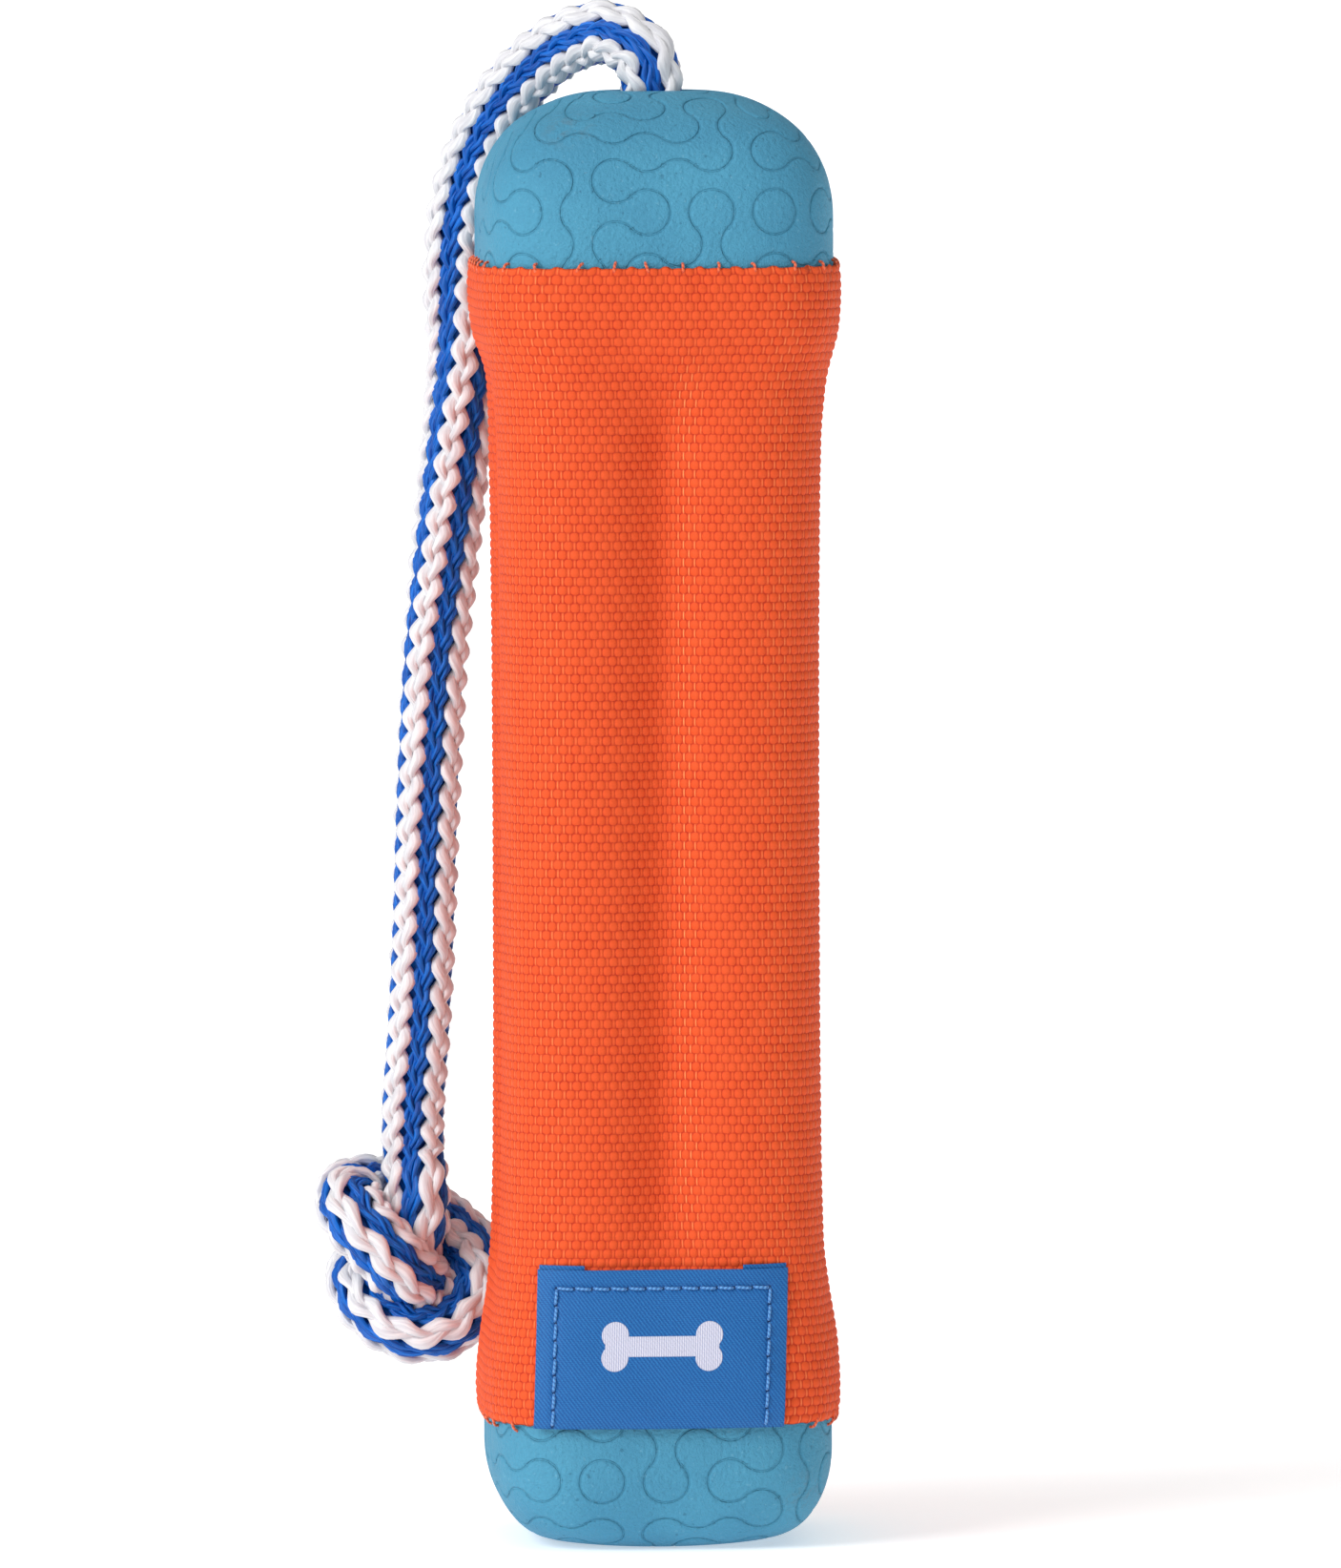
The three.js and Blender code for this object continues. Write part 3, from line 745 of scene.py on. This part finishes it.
def shoulder(half, flat_radius, z, rise, power):
    """A rounded shoulder, from the side at z to the flat crown or foot."""
    turn = np.linspace(0, TURN / 4, 90)
    across = np.cos(turn) ** (2 / power)
    up = np.sin(turn) ** (2 / power)
    return np.stack([flat_radius + (half - flat_radius) * across, z + rise * up], -1)


def raised(flat, z):
    """A grid of flat points, each row at its height z."""
    return np.concatenate([flat, np.broadcast_to(z[..., None], (*flat.shape[:2], 1))], -1)


def turned(profile, columns, flute=0.0):
    """A closed grid of points for a profile of [half width, z], turned and squared off."""
    angle = np.arange(columns) / columns * TURN
    half, z = profile[:, 0, None], profile[:, 1, None]
    return raised(outline(half, angle[None], flute), z)


def meander(u, v):
    """Signed distance from lines of quarter arcs round the corners of tiles that stand on a point."""
    a, b = (u + v) / (math.sqrt(2) * TILE), (v - u) / (math.sqrt(2) * TILE)
    i, j = np.floor(a), np.floor(b)
    x, y = a - i - 0.5, b - j - 0.5
    x = np.where(scatter(i, j) > 0.5, -x, x)
    near = np.hypot(x + 0.5, y + 0.5) - 0.5
    far = np.hypot(x - 0.5, y - 0.5) - 0.5
    return np.where(np.abs(near) < np.abs(far), near, far) * TILE


def engraved(points, along, fade, slide):
    """Sinks the meander into a grid of points, slid this far round.

    Returns the points, the groove's depth from 0 to 1, and the distance from its line in millimetres.
    """
    step = np.linalg.norm(np.roll(points, -1, axis=1) - points, axis=2)
    half_turn = CAP_COLUMNS // 2
    from_side = np.cumsum(step, axis=1) - step
    half_length = from_side[:, half_turn:half_turn + 1]
    middle = np.where(from_side < half_length, 0.5, 1.5) * half_length
    around = from_side - middle
    distance = meander(around + slide, along[:, None] + 0 * around)
    groove = np.exp(-(distance / GROOVE_WIDTH) ** 2) * fade[:, None]
    normal = surface_normals(points)
    return points - GROOVE_DEPTH * groove[..., None] * normal, groove, distance / MM


def surface_normals(points):
    """Outward unit normals of a closed grid of rows round a body."""
    around = np.roll(points, -1, axis=1) - np.roll(points, 1, axis=1)
    up = np.gradient(points, axis=0)
    normal = np.cross(around, up)
    return normal / np.maximum(np.linalg.norm(normal, axis=-1, keepdims=True), 1e-12)


def cap_piece(name, outer, inner, way, material, slide, scuffs):
    """A cap from its visible profile, which is engraved, and its hidden one, which runs on from it.

    `way` is 1 where the visible profile runs up, and -1 where it runs down.
    """
    fine = evenly_spaced(outer, CAP_GRID)
    along = distances(fine)
    points = turned(fine, CAP_COLUMNS)
    radius = np.hypot(points[..., 0], points[..., 1]).mean(axis=1)
    fade = smoothstep(0, GROOVE_START, along) * smoothstep(*GROOVE_END, radius)
    surface, groove, distance = engraved(points[:, ::way], along, fade, slide)
    hidden = turned(np.array(inner, float), CAP_COLUMNS)[:, ::way]
    grid = np.concatenate([surface, hidden])
    faces, _ = grid_faces(len(grid) + 1, CAP_COLUMNS, closed=True)
    faces = faces % (len(grid) * CAP_COLUMNS)
    piece = new_piece(name, grid, faces.tolist(), material)
    plain = np.zeros(hidden.shape[0] * CAP_COLUMNS)
    paint(piece, "groove", np.concatenate([groove.ravel(), plain]))
    paint(piece, "line_distance", np.concatenate([distance.ravel(), plain]))
    scuff = np.zeros(grid.shape[:2])
    for place, reach in scuffs:
        scuff = np.maximum(scuff, 1 - np.linalg.norm(grid - np.array(place), axis=-1) / reach)
    paint(piece, "scuff", np.clip(scuff, 0, 1))
    return piece


def add_top_cap(material):
    seat = TOP_CAP_HALF - SEAT_DEPTH
    socket_z = CORE_TOP_Z + CORE_GAP
    crown = shoulder(TOP_CAP_HALF, CROWN_RADIUS, LENGTH - CROWN_HEIGHT, CROWN_HEIGHT, CROWN_POWER)
    outer = [[seat, HEM_HIGH_Z - 2 * SEAT_DEPTH], [TOP_CAP_HALF, HEM_HIGH_Z - SEAT_DEPTH / 2],
             *crown, *(BORE_LIP + [BORE_RADIUS, LENGTH])]
    inner = [[BORE_RADIUS, POCKET_TOP_Z], [POCKET_RADIUS - POCKET_BEVEL, POCKET_TOP_Z],
             [POCKET_RADIUS, POCKET_TOP_Z - POCKET_BEVEL], [POCKET_RADIUS, socket_z],
             [SOCKET_HALF, socket_z], [SOCKET_HALF, TOP_SKIRT_Z],
             [seat - SKIRT_BEVEL, TOP_SKIRT_Z], [seat, TOP_SKIRT_Z + 2 * SKIRT_BEVEL]]
    cap = cap_piece("top_cap_moulding", outer, inner, 1, material, 3 * MM, TOP_SCUFFS)
    put_on_body(cap, "top_end_cap")


def add_bottom_cap(material):
    seat = BOTTOM_CAP_HALF - SEAT_DEPTH
    socket_z = CORE_BOTTOM_Z - CORE_GAP
    foot = shoulder(BOTTOM_CAP_HALF, FOOT_RADIUS, FOOT_HEIGHT, -FOOT_HEIGHT, FOOT_POWER)
    outer = [[seat, HEM_LOW_Z + 2 * SEAT_DEPTH], [BOTTOM_CAP_HALF, HEM_LOW_Z + SEAT_DEPTH / 2],
             *foot, [CAP_AXIS, 0]]
    inner = [[CAP_AXIS, socket_z], [SOCKET_HALF, socket_z], [SOCKET_HALF, BOTTOM_SKIRT_Z],
             [seat - SKIRT_BEVEL, BOTTOM_SKIRT_Z], [seat, BOTTOM_SKIRT_Z - 2 * SKIRT_BEVEL]]
    cap = cap_piece("bottom_cap_moulding", outer, inner, -1, material, 11 * MM, BOTTOM_SCUFFS)
    put_on_body(cap, "bottom_end_cap")


# Sleeve.

def sleeve_half(z):
    """Half width of the sleeve's outer face at a height, with the profile's corners rounded."""
    heights, halves = SLEEVE_PROFILE.T
    spread = 2 * MM
    shifts = np.linspace(-1, 1, 9)
    room = np.minimum(np.minimum(z - HEM_LOW_Z, HEM_HIGH_Z - z), spread)
    return np.mean([np.interp(z + room * s, heights, halves) for s in shifts], axis=0)


def sleeve_flute(z):
    return FLUTE_DEPTH * smoothstep(*LOW_FLUTE_FADE, z) * (1 - smoothstep(*HIGH_FLUTE_FADE, z))


def weave_height(u, v):
    """How far the weave stands up, from 0 to 1. u and v are metres round the body and up it."""
    row = np.floor(v / PICK_PITCH)
    shifted = u - (row % 2) * YARN_PITCH
    x = np.abs(shifted % (2 * YARN_PITCH) - YARN_PITCH) / MM
    y = np.abs(v % PICK_PITCH - PICK_PITCH / 2) / MM
    along = (y / BEAD_LENGTH) ** BEAD_POWER
    dome = np.clip(1 - (x / BEAD_WIDTH) ** BEAD_POWER - along, 0, 1) ** BEAD_ROUNDING
    under = smoothstep(*UNDER_SHOWS, x) * np.clip(1 - UNDER_FALL * along, 0, 1)
    return np.maximum(dome, UNDER_HEIGHT * under)


def add_sleeve(material):
    """The sleeve from the middle of the back round to it again, two columns of points a yarn."""
    girth = sleeve_girth()
    columns = 4 * round(girth / (2 * YARN_PITCH)) + 1
    rows = round((HEM_HIGH_Z - HEM_LOW_Z) / PICK_PITCH * 4) + 1
    z = np.linspace(HEM_LOW_Z, HEM_HIGH_Z, rows)[:, None]
    angle = TURN / 4 + np.linspace(0, TURN, columns)[None]
    points = raised(outline(sleeve_half(z), angle, sleeve_flute(z)), z)
    u = np.broadcast_to(np.arange(columns) * YARN_PITCH / 2, (rows, columns))
    v = np.broadcast_to(z - HEM_LOW_Z, (rows, columns))
    normal = unit(np.cross(np.gradient(points, axis=1), np.gradient(points, axis=0)))
    lift = (weave_height(u, v) - 0.5) * YARN_HEIGHT
    lift = lift + sleeve_tension(u / u.max(), z) + seam_lift(u)
    points = points + lift[..., None] * normal
    points[..., 2] += hem_pull(u / u.max(), z)
    points = np.concatenate([turned_in(points[0], 1), points, turned_in(points[-1], -1)[::-1]])
    faces, places = grid_faces(len(points), columns)
    folds = len(HEM_FOLD)
    heights = np.concatenate([np.zeros(folds), v[:, 0], np.full(folds, v[-1, 0])]) / MM
    uv = np.stack([places[..., 0] * YARN_PITCH / 2 / MM, heights[places[..., 1]]], -1)
    piece = new_piece("woven_sleeve", points, faces.tolist(), material, uv)
    paint(piece, "dirt", hem_dirt(angle, points))
    # Weight of the painted pale-thread highlight, for the weave's colour.
    paint(piece, "thread_highlight", painted_thread_highlight(angle, points))
    put_on_body(piece, "fabric_sleeve")


def hem_pull(turn, z):
    """How far up the hem stitches pull the cloth, at a share of the way round and a height."""
    at_stitch = smoothstep(0.5, 1, np.cos(turn * TURN * HEM_STITCHES))
    low = HEM_PULL[0] * np.exp(-(z - HEM_LOW_Z) / HEM_PULL_REACH)
    high = HEM_PULL[1] * np.exp(-(HEM_HIGH_Z - z) / HEM_PULL_REACH)
    return (high - low) * at_stitch


def hem_dirt(angle, points):
    """Grime in patches along the upper hem."""
    patches = 0.5 + 0.5 * np.sin(3 * angle + 1) * np.cos(5 * angle)
    near = np.exp(-(HEM_HIGH_Z - points[..., 2]) / (3 * MM))
    return near * smoothstep(0.35, 0.6, patches)


def painted_thread_highlight(angle, points):
    """Pale filling between the yarns, faint all over, with a painted highlight added along one wall of
    each flute and at the corners.
    """
    from_face = (angle / (TURN / 4) + 0.5) % 1 - 0.5
    wall = np.exp(-((from_face - 0.085) / 0.055) ** 2)
    corner = np.exp(-((np.abs(from_face) - 0.42) / 0.09) ** 2)
    z = points[..., 2]
    fluted = smoothstep(*LOW_FLUTE_FADE, z) * (1 - smoothstep(*HIGH_HIGHLIGHT_FADE, z))
    return 0.06 + 0.75 * wall * fluted + 0.35 * corner


def turned_in(edge, rise):
    """Rows of cloth folded in at a hem, from the innermost. `rise` is the way they go, up or down."""
    rows = []
    for depth, height in reversed(HEM_FOLD):
        row = edge.copy()
        row[:, :2] *= 1 - depth * MM / np.linalg.norm(edge[:, :2], axis=1, keepdims=True)
        row[:, 2] += rise * height * MM
        rows.append(row)
    return np.array(rows)


def sleeve_tension(turn, z):
    """Soft pulls in the cloth: short ones from each hem stitch and a few long ones off the caps."""
    stitches = np.cos(turn * TURN * HEM_STITCHES)
    top, low = HEM_HIGH_Z - z, z - HEM_LOW_Z
    pulls = -HEM_PUCKER * stitches * (np.exp(-top / (3 * MM)) + np.exp(-low / (3 * MM)))
    drape = np.sin(turn * TURN * 7 + z / (13 * MM)) + np.sin(turn * TURN * 11 - z / (9 * MM) + 2)
    at_caps = np.exp(-((top - 18 * MM) / (9 * MM)) ** 2) + np.exp(-((low - 18 * MM) / (10 * MM)) ** 2)
    return pulls + CLOTH_DRAPE * drape * at_caps


def seam_lift(u):
    """How far the felled seam stands off the sleeve at a distance round from the back."""
    edge = 0.8 * MM
    return SEAM_LIFT * smoothstep(0, edge, u) * (1 - smoothstep(SEAM_WIDTH - edge, SEAM_WIDTH, u))


def sleeve_girth():
    """Length round the sleeve at its waist."""
    z = np.array(WAIST_Z)
    ring = outline(sleeve_half(z), np.linspace(0, TURN, 2000), sleeve_flute(z))
    return float(distances(ring)[-1])


def add_core():
    """The fluted foam block inside the sleeve, with a recess for the lower half of the anchor knot."""
    profile = evenly_spaced([
        [CORE_AXIS, CORE_BOTTOM_Z], [CORE_HALF - CORE_EDGE, CORE_BOTTOM_Z],
        [CORE_HALF, CORE_BOTTOM_Z + CORE_EDGE], [CORE_HALF, CORE_TOP_Z - CORE_EDGE],
        [CORE_HALF - CORE_EDGE, CORE_TOP_Z], [POCKET_RADIUS, CORE_TOP_Z],
        [POCKET_RADIUS, POCKET_BOTTOM_Z], [CORE_AXIS, POCKET_BOTTOM_Z],
    ], 3 * MM)
    points = turned(profile, CORE_COLUMNS, FLUTE_DEPTH)
    cells = np.round(points * PITS_PER_METRE).transpose(2, 0, 1)
    pits = PIT_DEPTH * (scatter(*cells) - 0.5)
    points = points + pits[..., None] * surface_normals(points)
    faces, _ = grid_faces(len(points), CORE_COLUMNS, closed=True)
    ring = np.arange(CORE_COLUMNS)
    ends = [ring[::-1].tolist(), (ring + (len(points) - 1) * CORE_COLUMNS).tolist()]
    piece = new_piece("foam_block", points, faces.tolist() + ends, foam_material())
    put_on_body(piece, "foam_core")


def add_anchor_knot():
    """The inner knot, pulled up small, with a trefoil for its centreline."""
    low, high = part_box("anchor_knot")
    centre = (np.array(low) + np.array(high)) / 2
    reach = (np.array(high) - np.array(low)) / 2 - ANCHOR_ROPE_RADIUS
    turn = np.linspace(0.06, 0.94, 40) * TURN
    shape = np.stack([np.sin(turn) + 2 * np.sin(2 * turn), 2.4 * np.sin(3 * turn),
                      np.cos(turn) - 2 * np.cos(2 * turn)], -1) / 3
    rope = Rope(centre + shape * reach, ANCHOR_STEP, [(0, 0)])
    size = (ANCHOR_SIDES, ANCHOR_SCALE)
    white = white_strands(rope, "anchor_knot_white", bpy.data.materials["rope_white"], *size)
    blue = blue_strands(rope, "anchor_knot_blue", bpy.data.materials["rope_blue"], *size)
    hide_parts("anchor_knot")
    for strands in (white, blue):
        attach(strands, "rope_base")


# Label.

def label_surface(x, z, lift):
    """Points at `lift` in front of the sleeve's front face, which the label bridges flatly."""
    half = sleeve_half(np.maximum(z, HEM_LOW_Z))
    x = x + LABEL_LEAN * (z - LABEL_BOTTOM_Z - LABEL_HEIGHT)
    depth = half * (1 - np.abs(x / half) ** SQUARENESS) ** (1 / SQUARENESS)
    bridged = 0.25 * sleeve_flute(z) * np.exp(-(x / FLUTE_WIDTH) ** 2)
    return np.stack([x, bridged - depth - lift, z], -1)


def slab(front, back):
    """Points and faces of a closed slab between two grids, and each corner's (column, row)."""
    rows, columns = front.shape[:2]
    faces, places = grid_faces(rows, columns)
    count = rows * columns
    index = np.arange(count).reshape(rows, columns)
    rim = np.concatenate([index[0], index[1:, -1], index[-1, -2::-1], index[-2:0:-1, 0]])
    beyond = np.roll(rim, -1)
    sides = np.stack([rim, rim + count, beyond + count, beyond], -1)
    side_places = np.stack([sides % count % columns, sides % count // columns], -1)
    points = np.concatenate([front.reshape(-1, 3), back.reshape(-1, 3)])
    every = np.concatenate([faces, faces[:, ::-1] + count, sides])
    return points, every, np.concatenate([places, places[:, ::-1], side_places])


def label_stitches():
    """The (x, z) ends of each stitch up one side of the label, across its top and down the other."""
    left = LABEL_X - LABEL_WIDTH / 2 + LABEL_MARGIN
    right = LABEL_X + LABEL_WIDTH / 2 - LABEL_MARGIN
    low, high = LABEL_BOTTOM_Z + 0.4 * MM, LABEL_BOTTOM_Z + LABEL_HEIGHT - LABEL_MARGIN
    corners = np.array([(left, low), (left, high), (right, high), (right, low)])
    stitches = []
    for start, end in zip(corners, corners[1:]):
        count = round(np.linalg.norm(end - start) / STITCH_LENGTH)
        ends = start + (end - start) * np.linspace(0, 1, count + 1)[:, None]
        stitches += zip(ends, ends[1:])
    return stitches


def needle_holes(x, z):
    """1 at the middle of each needle hole of the label, down to 0 a little way out."""
    depth = np.zeros(x.shape)
    for start, _ in label_stitches():
        away = np.hypot(x - start[0], z - start[1])
        depth = np.maximum(depth, np.exp(-(away / HOLE_RADIUS) ** 2))
    return depth


def label_cloth(x, z, lift, thickness):
    """A sheet of label cloth over the grid of x and z, puckered along its stitching."""
    from_side = LABEL_WIDTH / 2 - np.abs(x - LABEL_X) - LABEL_MARGIN
    from_top = LABEL_BOTTOM_Z + LABEL_HEIGHT - z - LABEL_MARGIN
    inside = np.where(from_top > 0, np.abs(from_side), np.inf)
    inside = np.minimum(inside, np.where(from_side > 0, np.abs(from_top), np.inf))
    pucker = -LABEL_PUCKER * np.exp(-(inside / (0.6 * MM)) ** 2) - HOLE_DEPTH * needle_holes(x, z)
    ripple = LABEL_RIPPLE * np.sin(x * 310 + 1) * np.sin(z * 430 + x * 120)
    edge = np.minimum(from_side + LABEL_MARGIN, z - LABEL_BOTTOM_Z)
    edge = np.minimum(edge, from_top + LABEL_MARGIN)
    curl = LABEL_CURL * np.exp(-edge / (1.1 * MM)) * np.sin(x * 260 + z * 340)
    front = label_surface(x, z, lift + thickness + pucker + ripple + curl)
    back = label_surface(x, z, lift + pucker + ripple + curl)
    return slab(front, back)


def add_label():
    """The label, and the two corners folded under it, which show above its top edge."""
    left, right = LABEL_X - LABEL_WIDTH / 2, LABEL_X + LABEL_WIDTH / 2
    top = LABEL_BOTTOM_Z + LABEL_HEIGHT
    flap = (top - FLAP_BELOW, top + FLAP_ABOVE, FLAP_LIFT)
    middle = np.array([LABEL_X, LABEL_BOTTOM_Z + LABEL_HEIGHT / 2])
    points, faces, uv, holes = [], [], [], []
    count = 0
    for x0, x1, z0, z1, lift in (
        (left, right, LABEL_BOTTOM_Z, top, LABEL_LIFT),
        (left + FLAP_INSET, left + FLAP_WIDTH, *flap),
        (right - FLAP_WIDTH, right - FLAP_INSET, *flap),
    ):
        across = np.linspace(x0, x1, round((x1 - x0) / LABEL_GRID))
        up = np.linspace(z0, z1, round((z1 - z0) / LABEL_GRID))
        x, z = np.meshgrid(across, up)
        cloth, quads, places = label_cloth(x, z, lift, LABEL_THICKNESS)
        holes.append(np.tile(needle_holes(x, z).ravel(), 2))
        flat = np.stack([x, z], -1)[places[..., 1], places[..., 0]]
        points.append(cloth)
        faces += (quads + count).tolist()
        uv.append(((flat - middle) / MM).reshape(-1, 2))
        count += len(cloth)
    piece = new_piece("satin_label", np.vstack(points), faces, satin_material(), np.vstack(uv))
    paint(piece, "needle_hole", np.concatenate(holes))
    put_on_body(piece, "woven_label")


# Sewing thread.

def add_stitch(strands, points, radius, outward):
    """One stitch: a tube through a few points, thinner at its ends."""
    path = smooth_route(points, STITCH_STEP)
    along = np.linspace(0, distances(path)[-1], len(path))
    tangent = unit(np.gradient(path, axis=0))
    sideways = unit(np.cross(tangent, outward))
    strands.add(path, np.cross(sideways, tangent), sideways, radius, radius, along, STITCH_SIDES)


def add_label_stitches():
    strands = Strands()
    for number, (start, end) in enumerate(label_stitches()):
        across = np.array([start[1] - end[1], end[0] - start[0]]) / np.linalg.norm(end - start)
        slant = (0.14 + 0.10 * scatter(number, 3)) * MM
        run = []
        for part, lift in LABEL_STITCH:
            flat = start + (end - start) * part + across * slant * (0.5 - part)
            run.append(label_surface(*flat, lift * MM))
        add_stitch(strands, run, LABEL_THREAD_RADIUS, np.array([0, -1, 0.001]))
    material = thread_material("label_thread_blue", (0.10, 0.35, 0.74, 1), (0.03, 0.17, 0.48, 1))
    piece = strands.piece("label_lockstitch", material)
    put_on_body(piece, "label_thread")


def hem_angles(start, turn):
    """The middle of each stitch on a stretch of a hem."""
    count = round(HEM_STITCHES * turn / TURN)
    return start + (np.arange(count) + 0.5) / count * turn


def add_hem_stitches(name, node, hem_z, rise, cap_half, angles, material):
    """Whip stitches over a hem into the cap. `rise` is 1 at the top hem, -1 at the bottom."""
    strands = Strands()
    for number, angle in enumerate(angles):
        lean = (scatter(number, 7) - 0.5) * HEM_STITCH_LEAN
        tip = (0.75 + 0.7 * scatter(number, 11)) * MM
        run = []
        for height, off, shift in HEM_STITCH:
            z = hem_z + rise * height * MM
            half = sleeve_half(z) if height < 0 else cap_half + HEM_THICKNESS
            run.append([*outline(half + off * MM, angle + lean * shift), z])
        flat = outline(cap_half - HEM_STITCH_DEPTH, angle + lean)
        run.append([*flat, hem_z + rise * tip])
        outward = np.array([math.cos(angle), math.sin(angle), 0.001])
        add_stitch(strands, run, HEM_THREAD_RADIUS, outward)
    put_on_body(strands.piece(name, material), node)


def add_seam_stitches(material):
    """Two rows of lockstitch down the felled seam at the middle of the back."""
    strands = Strands()
    low, high = HEM_LOW_Z + SEAM_END, HEM_HIGH_Z - SEAM_END
    count = round((high - low) / STITCH_LENGTH)
    girth = sleeve_girth()
    for row, stitch in itertools.product(SEAM_ROWS, range(count)):
        run = []
        for part, lift in SEAM_STITCH:
            z = low + (high - low) * (stitch + part) / count
            flute = sleeve_flute(z)
            half = sleeve_half(z) + SEAM_LIFT + sleeve_tension(row / girth, z) + lift * MM
            angle = TURN / 4 + row / (sleeve_half(z) - flute)
            run.append([*outline(half, angle, flute), z])
        add_stitch(strands, run, SEAM_THREAD_RADIUS, np.array([0.001, 1, 0]))
    piece = strands.piece("back_seam_lockstitch", material)
    put_on_body(piece, "back_seam_thread")


add_camera()
add_rope()
add_studio()
foam_rubber = rubber_material("foam_rubber", (0.072, 0.320, 0.485, 1), (0.058, 0.275, 0.435, 1))
add_top_cap(foam_rubber)
add_bottom_cap(foam_rubber)
add_core()
add_anchor_knot()
add_sleeve(weave_material())
add_label()
add_label_stitches()
orange_thread = thread_material("orange_thread", (0.90, 0.15, 0.04, 1), (0.60, 0.06, 0.015, 1))
add_hem_stitches("top_hem_stitches", "top_hem_thread", HEM_HIGH_Z, 1, TOP_CAP_HALF,
                 hem_angles(TURN / 4, TURN), orange_thread)
add_hem_stitches("bottom_hem_stitches", "bottom_hem_thread", HEM_LOW_Z, -1, BOTTOM_CAP_HALF,
                 hem_angles(LABEL_RIGHT_SIDE, TURN - LABEL_TURN), orange_thread)
add_seam_stitches(orange_thread)
